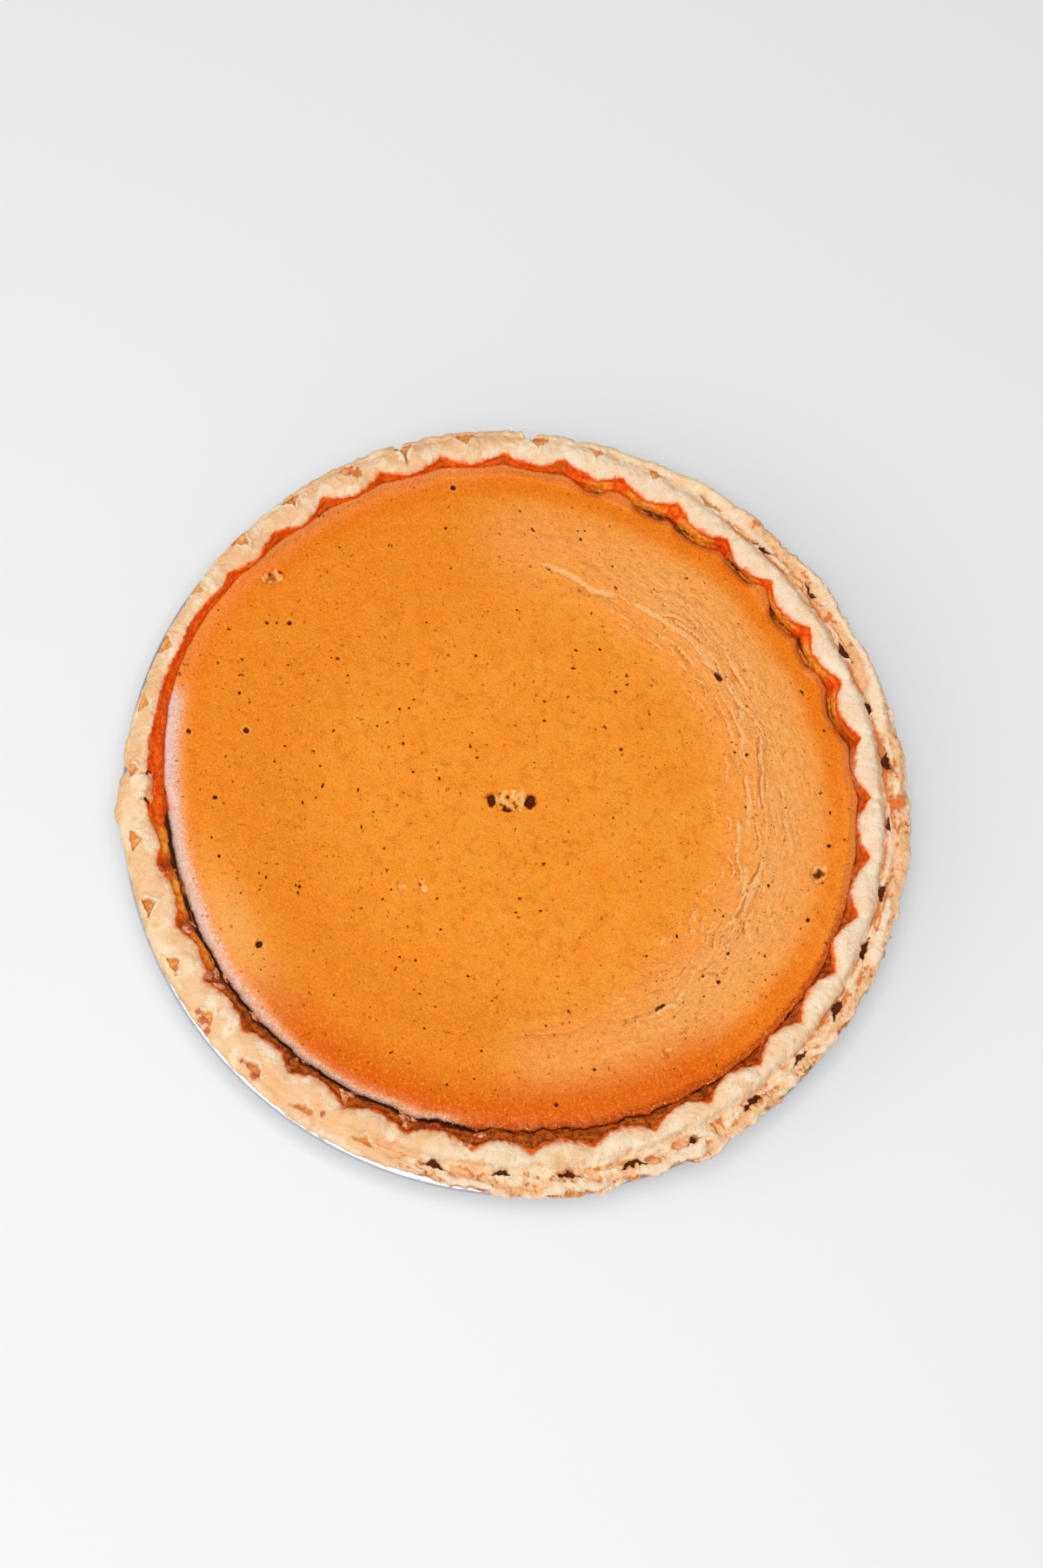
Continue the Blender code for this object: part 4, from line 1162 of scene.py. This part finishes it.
def fillingSurface(x, y):  # heights of the filling's top and its colour masks
    angle, radius = fromPlan(x, y)

    def within(name):
        return stretch(angle, *fillingLook["zones"][name])

    edge = fillingEdge(angle)
    spread = bumps(angle, rimForm["band"]) + bumps(angle, rimForm["wall"])
    spread = spread + bumps(angle, rimForm["edgeShift"])
    inner = radius - spread * (radius / topRadius) ** 4
    fitFrom, fitWidth = fillingLook["edgeFit"]
    fitted = fitFrom + (inner - fitFrom) * fitWidth / np.maximum(edge - spread - fitFrom, 1)
    inner = np.where(inner > fitFrom, fitted, inner)
    height = curveThrough(inner, fillingTop[:, 0], fillingTop[:, 1])
    rise = 1.3 + 1.7 * within("risingEdge")
    height += rise * ramp(inner, 101.6, topRadius) * (1 - gapShare(angle))
    side = stretch(angle, *fillingLook["wrinkleSide"])
    main = within("mainWrinkles")
    steps = curveThrough(inner, fillingTop[:, 0], fillingTop[:, 2])
    height += fillingLook["wrinkle"] * 0.7 * steps * side
    out = inner / topRadius
    height += 0.25 * noiseAt(x / 35, y / 35, 21) * out * (1 - out**6) + 0.1 * noiseAt(x / 13, y / 13, 22)

    # Skin wrinkled where the middle sank: broken steps that run round the pie, steep towards the middle
    bend = inner + 3.2 * ringNoise(angle, inner, 34, 14, 23) + 1.1 * ringNoise(angle, inner, 14, 8, 30)
    bend += 0.3 * ringNoise(angle, inner, 5, 3, 59)
    zone = bell(inner - 76, 13) * (0.3 * side + 0.7 * main)
    # Painted highlight on the steps' steep faces, and painted shade in the thin lines at their feet
    paintedFoldHighlight = np.zeros_like(x)
    paintedFoldShade = np.zeros_like(x)
    for pitch, amount, long, seed in ((5.2, 0.9, 26, 24), (2.7, 0.42, 15, 25)):
        phase = bend / pitch + 0.6 * ringNoise(angle, bend, long, 5, seed)
        saw = phase - np.floor(phase)
        step = ramp(saw, 0, 0.24) * (1 - ramp(saw, 0.24, 1.0))
        strong = zone * ramp(ringNoise(angle, bend, long, pitch * 1.6, seed + 10), -0.4, 0.5)
        strong *= ramp(ringNoise(angle, bend, 6, pitch, seed + 42), -0.7, 0.05)
        height += amount * strong * step
        paintedFoldHighlight = np.maximum(paintedFoldHighlight, strong * bell(saw - 0.16, 0.12))
        paintedFoldShade = np.maximum(paintedFoldShade, strong * bell(np.minimum(saw, 1 - saw), 0.08))
    outerZone = bell(inner - 90, 8) * side
    height += outerZone * 0.25 * ringNoise(angle, bend, 9, 2.2, 38)
    height += 0.14 * noiseAt(x / 1.9, y / 1.9, 26) + 0.14 * noiseAt(x / 4.6, y / 4.6, 27)
    rimRough = ramp(inner, 99, 103) * within("roughRim")
    height += rimRough * (0.3 * noiseAt(x / 2.2, y / 2.2, 39) + 0.15 * noiseAt(x / 1.0, y / 1.0, 40))
    base = height.copy()

    # Painted shade down in cracks, pores, pits and tears, and along the crumbled edge below
    paintedHollowShade = np.zeros_like(x)
    crumb = np.zeros_like(x)
    for points, halfWidth, deep, lipHeight in fillingCracks:
        gap, along = nearLine(x, y, points, 6.0)
        gap = gap + 0.3 * noiseAt(x / 1.2, y / 1.2, 28) * (np.abs(gap) < 5)
        tail = ramp(along, -0.02, 0.18) * (1 - ramp(along, 0.82, 1.02)) * (np.abs(gap) < 5)
        cut = bell(gap, halfWidth) * tail
        lipShape = ramp(gap, 0, 1.0) * np.exp(-np.maximum(gap - 0.4, 0) / 1.8)
        height += -deep * cut + 1.7 * lipHeight * lipShape * tail
        paintedHollowShade = np.maximum(paintedHollowShade, cut * ramp(deep, 0.2, 0.9))
        # Painted highlight on the slope that rises to a crack's outer lip
        paintedFoldHighlight = np.maximum(paintedFoldHighlight, 1.1 * bell(gap - 0.9, 0.8) * tail * ramp(lipHeight, 0.1, 0.45))
    for centreX, centreY, size in fillingPores:
        away = np.hypot(x - centreX, y - centreY)
        away = away * (1 + 0.22 * noiseAt(x / 0.9, y / 0.9, 29) * (away < 4))
        height += -1.5 * size * (1 - ramp(away, size * 0.35, size)) + 0.1 * bell(away - size - 0.25, 0.3)
        paintedHollowShade = np.maximum(paintedHollowShade, 1 - ramp(away, size * 0.55, size * 0.95))
        crumb = np.maximum(crumb, 0.5 * bell(away - size - 0.3, 0.3) * (size > 1.0))
    for centreX, centreY, size, long, turn in smallPits:
        u = ((x - centreX) * math.cos(turn) + (y - centreY) * math.sin(turn)) / long
        v = -(x - centreX) * math.sin(turn) + (y - centreY) * math.cos(turn)
        away = np.hypot(u, v)
        height -= 1.4 * size * (1 - ramp(away, size * 0.3, size))
        paintedHollowShade = np.maximum(paintedHollowShade, 1 - ramp(away, size * 0.4, size))
    for tear in fillingTears:
        reach = inTear(x, y, tear)
        bowl = np.sqrt(np.clip(1 - reach**2, 0, 1))
        inside = ramp(1.05 - reach, 0, 0.3)
        depth = tear[4]
        height = np.minimum(height, base - depth * bowl * (0.8 if depth < 2 else 1))
        lumps = noiseAt(x / 2.1, y / 2.1, 52) * 0.5 + noiseAt(x / 0.9, y / 0.9, 53) * 0.22
        height += inside * lumps * min(depth, 1.3) * 0.8
        height += 0.18 * bell(reach - 1.12, 0.13) * min(depth, 1.2)
        crumb = np.maximum(crumb, inside * ramp(lumps, -0.25, 0.25) * (depth < 2))
        deepest = np.maximum(1 - ramp(lumps, -0.45, -0.1), ramp(depth * bowl, 1.2, 2.2))
        paintedHollowShade = np.maximum(paintedHollowShade, inside * deepest)
    crumb *= 1 - paintedHollowShade
    # A painted dark crack along the crumbled edge below
    broken = ramp(inner, 104.75, 105.2) * ramp(ringNoise(angle, inner, 6, 2, 64), -0.5, 0.0)
    paintedHollowShade = np.maximum(paintedHollowShade, 0.8 * broken * within("broken"))

    # Colour zones of the baked edge: rosy at the right and top, dark orange below, and painted sheen:
    # paler over the wrinkled ring, broad on the lower left, and whitish on the left edge over a glossy coat
    lower = within("lower")
    around = 0.45 + 0.4 * within("rimRight") + 0.55 * within("rimBelow")
    rim = ramp(inner, 94, 100.5) * around
    ember = ramp(inner, 84, 99) * within("ember")
    deepRim = ramp(inner, 102.0, 105.0) * lower
    # Painted sheen: paler and pinker over the wrinkled ring at the right
    paintedRingSheen = bell(inner - 84, 14) * (1 - 0.8 * ramp(inner, 94, 101)) * (0.5 * side + 0.5 * main)
    dusk = ramp(inner, 101.6, 104.6) * within("dusk")
    # Painted sheen: whitish on the left edge, fading inward; the wet mask below also gives it a real glossy
    # coat
    sheenStart = 96.5 + 5.0 * ramp(angle, 214, 236)
    paintedSheen = ramp(inner, sheenStart, 104.2) * within("paintedSheen")
    paintedSheen *= 0.95 - 0.15 * within("thinnerSheen")
    paintedSheen = np.maximum(paintedSheen, 0.32 * ramp(inner, 97, 104) * within("faintSheen"))
    # Painted highlight: a broad sheen on the lower left of the filling
    paintedShine = bell((angle - 208 + 180) % 360 - 180, 13) * bell(inner - 97, 8)
    shade = ramp(inner, 45, 80) * within("shade") * (1 - paintedShine)
    wet = np.maximum(0.6 * paintedSheen, ramp(inner, 100, 103) * (0.15 + 0.15 * lower))
    ragged = ramp(inner, 103.2, 104.6) * within("crumbly")
    crumbly = np.maximum(crumb * 0.7, ragged * ramp(noiseAt(x / 3, y / 3, 62), -0.1, 0.3))
    masks = {
        "rim": rim, "deepRim": deepRim, "paintedRingSheen": paintedRingSheen, "dusk": dusk, "paintedSheen": paintedSheen, "wet": wet,
        "ember": ember, "paintedShine": paintedShine, "shade": shade, "paintedFoldHighlight": paintedFoldHighlight, "paintedFoldShade": paintedFoldShade,
        "paintedHollowShade": paintedHollowShade, "crumb": crumb, "crumbly": crumbly,
    }
    return height, {key: np.clip(value, 0, 1) for key, value in masks.items()}


def fillingDetail(x, y):
    angle, radius = fromPlan(x, y)
    side = stretch(angle, *fillingLook["wrinkleSide"])
    level = np.where((radius > 61) & (radius < 92) & (side > 0.4), 1, 0)
    level = np.where(radius > fillingEdge(angle) - 3.2, 1, level)
    for crack in fillingCracks:
        gap = nearLine(x, y, crack[0], 3.0)[0]
        level = np.where(np.abs(gap) < 2.2, np.maximum(level, 1), level)
        level = np.where((gap > -0.9) & (gap < 1.1), 2, level)
    for centreX, centreY, size in fillingPores:
        away = np.hypot(x - centreX, y - centreY)
        level = np.where(away < size + 1.4, np.maximum(level, 1), level)
        level = np.where(away < size + 0.5, 2, level)
    for centreX, centreY, size, long, _ in smallPits:
        level = np.where(np.hypot(x - centreX, y - centreY) < size * long + 0.3, 2, level)
    for tear in fillingTears:
        reach = inTear(x, y, tear)
        level = np.where(reach < 1.4, 2, level)
    return level


def fillingMaterial():
    material, tree, place, shader = newMaterial("bakedPumpkin")
    grain = useGroup(tree, bakedGrain, {"Place": place, "Size": 0.8})
    ring = useGroup(tree, ringPlace, {"Place": place, "Stretch": 0.4})[0]
    folds = noiseNode(tree, ring, 1.1, 3.0, 0.6)
    fine = noiseNode(tree, place, 0.75, 3.0, 0.75)
    blotch = softStep(tree, noiseNode(tree, place, 9.0, 5.0, 0.7), 0.3, 0.7)
    colour = blend(tree, blotch, paint(253, 147, 34), paint(255, 158, 47))
    mottle = softStep(tree, noiseNode(tree, place, 3.6, 3.0, 0.6), 0.51, 0.66)
    colour = blend(tree, times(tree, mottle, 0.5), colour, paint(226, 128, 26))
    colour = tinted(tree, colour, "shade", 0.6, paint(242, 134, 22))
    # Painted sheen over the wrinkled ring
    colour = tinted(tree, colour, "paintedRingSheen", 0.85, paint(255, 178, 104))
    # Painted shade and painted light along the fine folds of the wrinkled ring
    paintedFineFoldShade = times(tree, softStep(tree, folds, 0.54, 0.66), mask(tree, "paintedRingSheen"))
    colour = blend(tree, times(tree, paintedFineFoldShade, 0.5), colour, paint(238, 128, 34))
    paintedFineFoldLight = times(tree, softStep(tree, folds, 0.46, 0.36), mask(tree, "paintedRingSheen"))
    colour = blend(tree, times(tree, paintedFineFoldLight, 0.5), colour, paint(255, 192, 128))
    # Painted highlight on the wrinkle steps' faces and painted shade along their feet
    colour = stained(tree, place, colour, "paintedFoldHighlight", paint(255, 196, 132), 1.4, 0.35, 0.85)
    colour = stained(tree, place, colour, "paintedFoldShade", paint(204, 104, 24), 1.0, 0.5, 0.75)
    colour = tinted(tree, colour, "rim", 0.8, paint(244, 120, 0))
    colour = tinted(tree, colour, "ember", 0.8, paint(230, 96, 0))
    colour = stained(tree, place, colour, "dusk", paint(214, 120, 56), 2.0, 0.3, 0.7)
    colour = stained(tree, place, colour, "deepRim", paint(196, 74, 4), 1.3, 0.6, 0.8)
    # Painted highlight on the lower left
    colour = tinted(tree, colour, "paintedShine", 0.75, paint(255, 186, 100))

    # Painted sheen on the left edge: a pinkish glow that fades inward, and whitish flecks of painted glare
    # that close up towards the edge
    paintedSheen = mask(tree, "paintedSheen")
    sheenGlow = softStep(tree, paintedSheen, 0.0, 0.75)
    colour = blend(tree, times(tree, sheenGlow, 0.8), colour, paint(254, 166, 98))
    fleck = calc(tree, "SUBTRACT", noiseNode(tree, place, 0.55, 4.0, 0.7), 0.5)
    sheenGlare = softStep(tree, plus(tree, paintedSheen, times(tree, fleck, 1.9)), 0.56, 0.94)
    colour = blend(tree, times(tree, sheenGlare, 0.85), colour, paint(240, 220, 216))

    # Grain, spice specks, crumbs and painted shade in the holes
    darker = times(tree, softStep(tree, fine, 0.5, 0.64), 0.8)
    colour = blend(tree, darker, colour, paint(244, 218, 160), "MULTIPLY")
    paler = times(tree, softStep(tree, fine, 0.47, 0.33), 0.5)
    colour = blend(tree, paler, colour, paint(255, 178, 60))
    dots = []
    for cell, radius, share in ((3.8, 0.55, 0.2), (1.7, 0.3, 0.4)):
        inputs = {"Place": place, "Cell": cell, "Radius": radius, "Share": share}
        dots.append(useGroup(tree, spiceSpecks, inputs)[0])
    bigDots, smallDots = dots
    colour = blend(tree, times(tree, smallDots, 0.7), colour, paint(176, 78, 6))
    colour = blend(tree, times(tree, bigDots, 0.95), colour, paint(112, 40, 6))
    colour = stained(tree, place, colour, "crumb", paint(252, 194, 118), 0.9, 0.4, 0.85)
    colour = blend(tree, softStep(tree, mask(tree, "paintedHollowShade"), 0.1, 0.8), colour, paint(98, 38, 8))

    wet = mask(tree, "wet")
    feed(tree, shader, {
        "Base Color": colour,
        "Roughness": calc(tree, "SUBTRACT", 0.46, times(tree, wet, 0.16)),
        "Coat Weight": times(tree, wet, 0.6),
        "Coat Roughness": 0.25,
        "Specular IOR Level": 0.1,
    })
    pits = times(tree, plus(tree, bigDots, smallDots), -0.6)
    lines = times(tree, times(tree, folds, mask(tree, "paintedRingSheen")), 1.6)
    bumpTo(tree, shader, plus(tree, plus(tree, grain["Height"], pits), lines), 0.5)
    return material


def makeFilling(material):
    spacing = fillingLook["spacing"]
    reach = 112.0
    x, y, level = hexPoints(2 * reach, 2 * reach, spacing, 2)
    x = x - reach + rimForm["pressCentre"][0]
    y = y - reach + rimForm["pressCentre"][1]
    angle, radius = fromPlan(x, y)
    keep = radius < fillingEdge(angle) - 0.3
    x, y, level = x[keep], y[keep], level[keep]
    keep = level <= fillingDetail(x, y)
    x, y, level = x[keep], y[keep], level[keep]
    x, y = scatterAside(x, y, level, spacing, 0.12, 4)
    count = fillingLook["steps"]
    ringAngle = np.arange(count) * 360 / count
    edge = fillingEdge(ringAngle)
    ringX, ringY = onPlan(ringAngle, edge, 1)
    own = np.arange(count)
    x = np.concatenate([ringX, x])
    y = np.concatenate([ringY, y])
    faces = trianglesOf(x, y)
    faces = faces[(faces >= count).any(1)]
    height, masks = fillingSurface(x, y)
    points = np.stack([x, y, height], 1)

    # Down the side, along the crust's wall, and under
    rings = []
    foot = wallFoot(ringAngle) - rimForm["footRadius"]
    wallRadius, wallHeight = crustLook["inside"][0]
    run, rise = crustLook["wallRun"]
    for z, share, press in fillingLook["side"]:
        radius = wallRadius + (z - wallHeight) * run / rise - fillingLook["gap"] + foot * share
        radius = np.minimum(radius, edge - 0.1)
        ringX, ringY = onPlan(ringAngle, radius, press)
        rings.append(np.stack([ringX, ringY, ringX * 0 + z], 1))
    baseRadius, baseHeight = fillingLook["base"]
    ringX, ringY = onPlan(ringAngle, ringAngle * 0 + baseRadius, 0)
    rings.append(np.stack([ringX, ringY, ringX * 0 + baseHeight], 1))
    start = len(points)
    ids = [start + i * count + own for i in range(len(rings))]
    points = np.concatenate([points, *rings, [[0, 0, baseHeight]]])
    bands = [ringFaces(lower, upper) for upper, lower in zip([own, *ids], ids)]
    faces = np.concatenate([faces, *bands, fanFaces(ids[-1], len(points) - 1)[:, ::-1]])
    masks = padded(masks, len(points))
    filling = makeObject("pumpkinFilling", points, faces, masks, material)
    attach(filling, "root")
    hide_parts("filling")
    return filling


# Loose bits: flakes of pastry, torn shreds and crumbs of filling

bitsLook = {
    "pastryFlakes": {
        "mask": "flaky", "perSquareMetre": 110000, "size": (0.7, 2.1), "shape": (1.6, 1.0, 0.22),
        "detail": 3, "seed": 3,
    },
    "tornShreds": {
        "mask": "shreds", "perSquareMetre": 80000, "size": (1.3, 3.0), "shape": (1.7, 0.7, 0.35),
        "detail": 3, "seed": 7,
    },
    "fillingCrumbs": {
        "mask": "crumbly", "perSquareMetre": 700000, "size": (0.2, 0.6), "shape": (1.2, 1.0, 0.8),
        "detail": 2, "seed": 5,
    },
}


def bitsTree():
    labels = {
        "Surface": "Geometry", "Where": "String", "Density": "Float", "Smallest": "Float",
        "Largest": "Float", "Shape": "Vector", "Rough": "Float", "Detail": "Int", "Seed": "Int",
        "Finish": "Material",
    }
    wanted = [(label, "NodeSocket" + kind, None) for label, kind in labels.items()]
    outputs = [("Bits", "NodeSocketGeometry")]
    tree, given, result = newGroup("strewnBits", wanted, outputs, "GeometryNodeTree")
    inputs = {"Name": given["Where"]}
    named = add(tree, "GeometryNodeInputNamedAttribute", inputs, data_type="FLOAT")
    density = times(tree, named.outputs["Attribute"], given["Density"])
    inputs = {"Mesh": given["Surface"], "Density": density, "Seed": given["Seed"]}
    strewn = add(tree, "GeometryNodeDistributePointsOnFaces", inputs).outputs
    inputs = {"Radius": 0.5, "Subdivisions": given["Detail"]}
    ball = add(tree, "GeometryNodeMeshIcoSphere", inputs).outputs[0]
    inputs = {"Geometry": ball, "Scale": given["Shape"]}
    shaped = add(tree, "GeometryNodeTransform", inputs).outputs[0]
    inputs = {0: (-0.4, -0.4, -3.14), 1: (0.4, 0.4, 3.14), "Seed": given["Seed"]}  # turns, in radians
    spin = add(tree, "FunctionNodeRandomValue", inputs, data_type="FLOAT_VECTOR").outputs[0]
    inputs = {0: strewn["Rotation"], 1: spin}
    turned = add(tree, "FunctionNodeRotateRotation", inputs, rotation_space="LOCAL").outputs[0]
    inputs = {2: given["Smallest"], 3: given["Largest"]}
    sizes = add(tree, "FunctionNodeRandomValue", inputs, data_type="FLOAT").outputs[1]
    inputs = {"Points": strewn["Points"], "Instance": shaped, "Rotation": turned, "Scale": sizes}
    placed = add(tree, "GeometryNodeInstanceOnPoints", inputs).outputs[0]
    real = add(tree, "GeometryNodeRealizeInstances", {"Geometry": placed}).outputs[0]
    place = add(tree, "GeometryNodeInputPosition").outputs[0]
    inputs = {"Geometry": real, "Offset": shake(tree, place, 1000.0, given["Rough"])}
    uneven = add(tree, "GeometryNodeSetPosition", inputs).outputs[0]
    smooth = add(tree, "GeometryNodeSetShadeSmooth", {"Geometry": uneven}).outputs[0]
    inputs = {"Geometry": smooth, "Material": given["Finish"]}
    feed(tree, result, {"Bits": add(tree, "GeometryNodeSetMaterial", inputs).outputs[0]})
    return tree


bitsFinish = {
    # tone: size in mm, detail and roughness of its noise, then where it turns from dark to pale
    "tornFilling": {
        "grain": 0.7, "tone": (1.6, 3.0, 0.6), "turns": (0.38, 0.62), "dark": (200, 100, 50),
        "pale": (244, 178, 138), "roughness": 0.55, "specular": 0.3, "relief": 0.2,
    },
    "fillingCrumb": {
        "grain": 0.6, "tone": (1.2, 2.0, 0.5), "turns": (0.35, 0.65), "dark": (236, 128, 22),
        "pale": (254, 190, 110), "roughness": 0.6, "specular": 0.25, "relief": 0.15,
    },
}


def bitMaterial(name):
    look = bitsFinish[name]
    material, tree, place, shader = newMaterial(name)
    grain = useGroup(tree, bakedGrain, {"Place": place, "Size": look["grain"]})
    tone = softStep(tree, noiseNode(tree, place, *look["tone"]), *look["turns"])
    feed(tree, shader, {
        "Base Color": blend(tree, tone, paint(*look["dark"]), paint(*look["pale"])),
        "Roughness": look["roughness"],
        "Specular IOR Level": look["specular"],
    })
    bumpTo(tree, shader, grain["Height"], look["relief"])
    return material


def strew(name, surface, tree, material):
    look = bitsLook[name]
    holder = bpy.data.objects.new(name + "Holder", surface.data.copy())
    scene.collection.objects.link(holder)
    values = {
        "Where": look["mask"],
        "Density": float(look["perSquareMetre"]),
        "Smallest": look["size"][0] * mm,
        "Largest": look["size"][1] * mm,
        "Shape": look["shape"],
        "Rough": look["size"][1] * mm * 0.6,  # how far a bit's skin is pushed about
        "Detail": look["detail"],
        "Seed": look["seed"],
        "Finish": material,
    }
    bits = asPlainMesh(holder, tree, values, name)
    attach(bits, "root")
    return bits


# Floor, light and camera

studio = {
    "floorHalf": 4,  # in metres
    "floorColour": (0.86, 0.86, 0.86, 1),
    "floorRoughness": 0.6,
    "worldStrength": 0.3,
    # azimuth, elevation, distance, size in metres, power in watts
    "lamps": {
        "overheadSoftbox": (240, 76, 2.2, 0.9, 30.0),
        "window": (205, 42, 2.2, 1.5, 8.0),
        "frontFill": (252, 30, 2.2, 2.0, 4.0),
    },
    "cameraPlace": (-0.12234, -0.2806, 1.00226),
    "cameraTarget": (0.000687, 0.005672, 0.035),
    "lens": 75.068,
    "sensorWidth": 36,
}


def makeFloor():
    half = studio["floorHalf"]
    corners = [(-half, -half, 0), (half, -half, 0), (half, half, 0), (-half, half, 0)]
    mesh = bpy.data.meshes.new("floor")
    mesh.from_pydata(corners, [], [(0, 1, 2, 3)])
    floor = bpy.data.objects.new("floor", mesh)
    scene.collection.objects.link(floor)
    material, tree, _, shader = newMaterial("paleFloor")
    feed(tree, shader, {"Base Color": studio["floorColour"], "Roughness": studio["floorRoughness"]})
    mesh.materials.append(material)


def makeLight():
    world = bpy.data.worlds.new("studio")
    scene.world = world
    world.use_nodes = True
    background = world.node_tree.nodes["Background"]
    background.inputs["Color"].default_value = (1, 1, 1, 1)
    background.inputs["Strength"].default_value = studio["worldStrength"]
    for name, (azimuth, elevation, distance, size, power) in studio["lamps"].items():
        turn, lift = math.radians(azimuth), math.radians(elevation)
        level = math.cos(lift)
        way = Vector((level * math.cos(turn), level * math.sin(turn), math.sin(lift)))
        place = way * distance
        data = bpy.data.lights.new(name, "AREA")
        data.energy = power
        data.size = size
        lamp = bpy.data.objects.new(name, data)
        lamp.location = place
        lamp.rotation_euler = (-place).to_track_quat("-Z", "Y").to_euler()
        scene.collection.objects.link(lamp)


def makeCamera():
    place = Vector(studio["cameraPlace"])
    target = Vector(studio["cameraTarget"])
    data = bpy.data.cameras.new("overhead")
    data.lens = studio["lens"]
    data.sensor_width = studio["sensorWidth"]
    camera = bpy.data.objects.new("overhead", data)
    forward = (target - place).normalized()
    right = forward.cross(Vector((0, 1, 0))).normalized()
    up = right.cross(forward)
    turned = Matrix((right, up, -forward)).transposed().to_4x4()
    camera.matrix_world = Matrix.Translation(place) @ turned
    scene.collection.objects.link(camera)
    scene.camera = camera


scene.view_settings.view_transform = "Standard"
makeCamera()
makeLight()
makeFloor()
print("pumpkin pie: studio ready")
makeTin()
print("pumpkin pie: tin made")
pastry = crustMaterial()
crust = makeCrust(pastry)
print("pumpkin pie: crust made")
filling = makeFilling(fillingMaterial())
print("pumpkin pie: filling made")
bits = bitsTree()
strew("pastryFlakes", crust, bits, pastry)
strew("tornShreds", crust, bits, bitMaterial("tornFilling"))
strew("fillingCrumbs", filling, bits, bitMaterial("fillingCrumb"))
print("pumpkin pie: loose bits made")
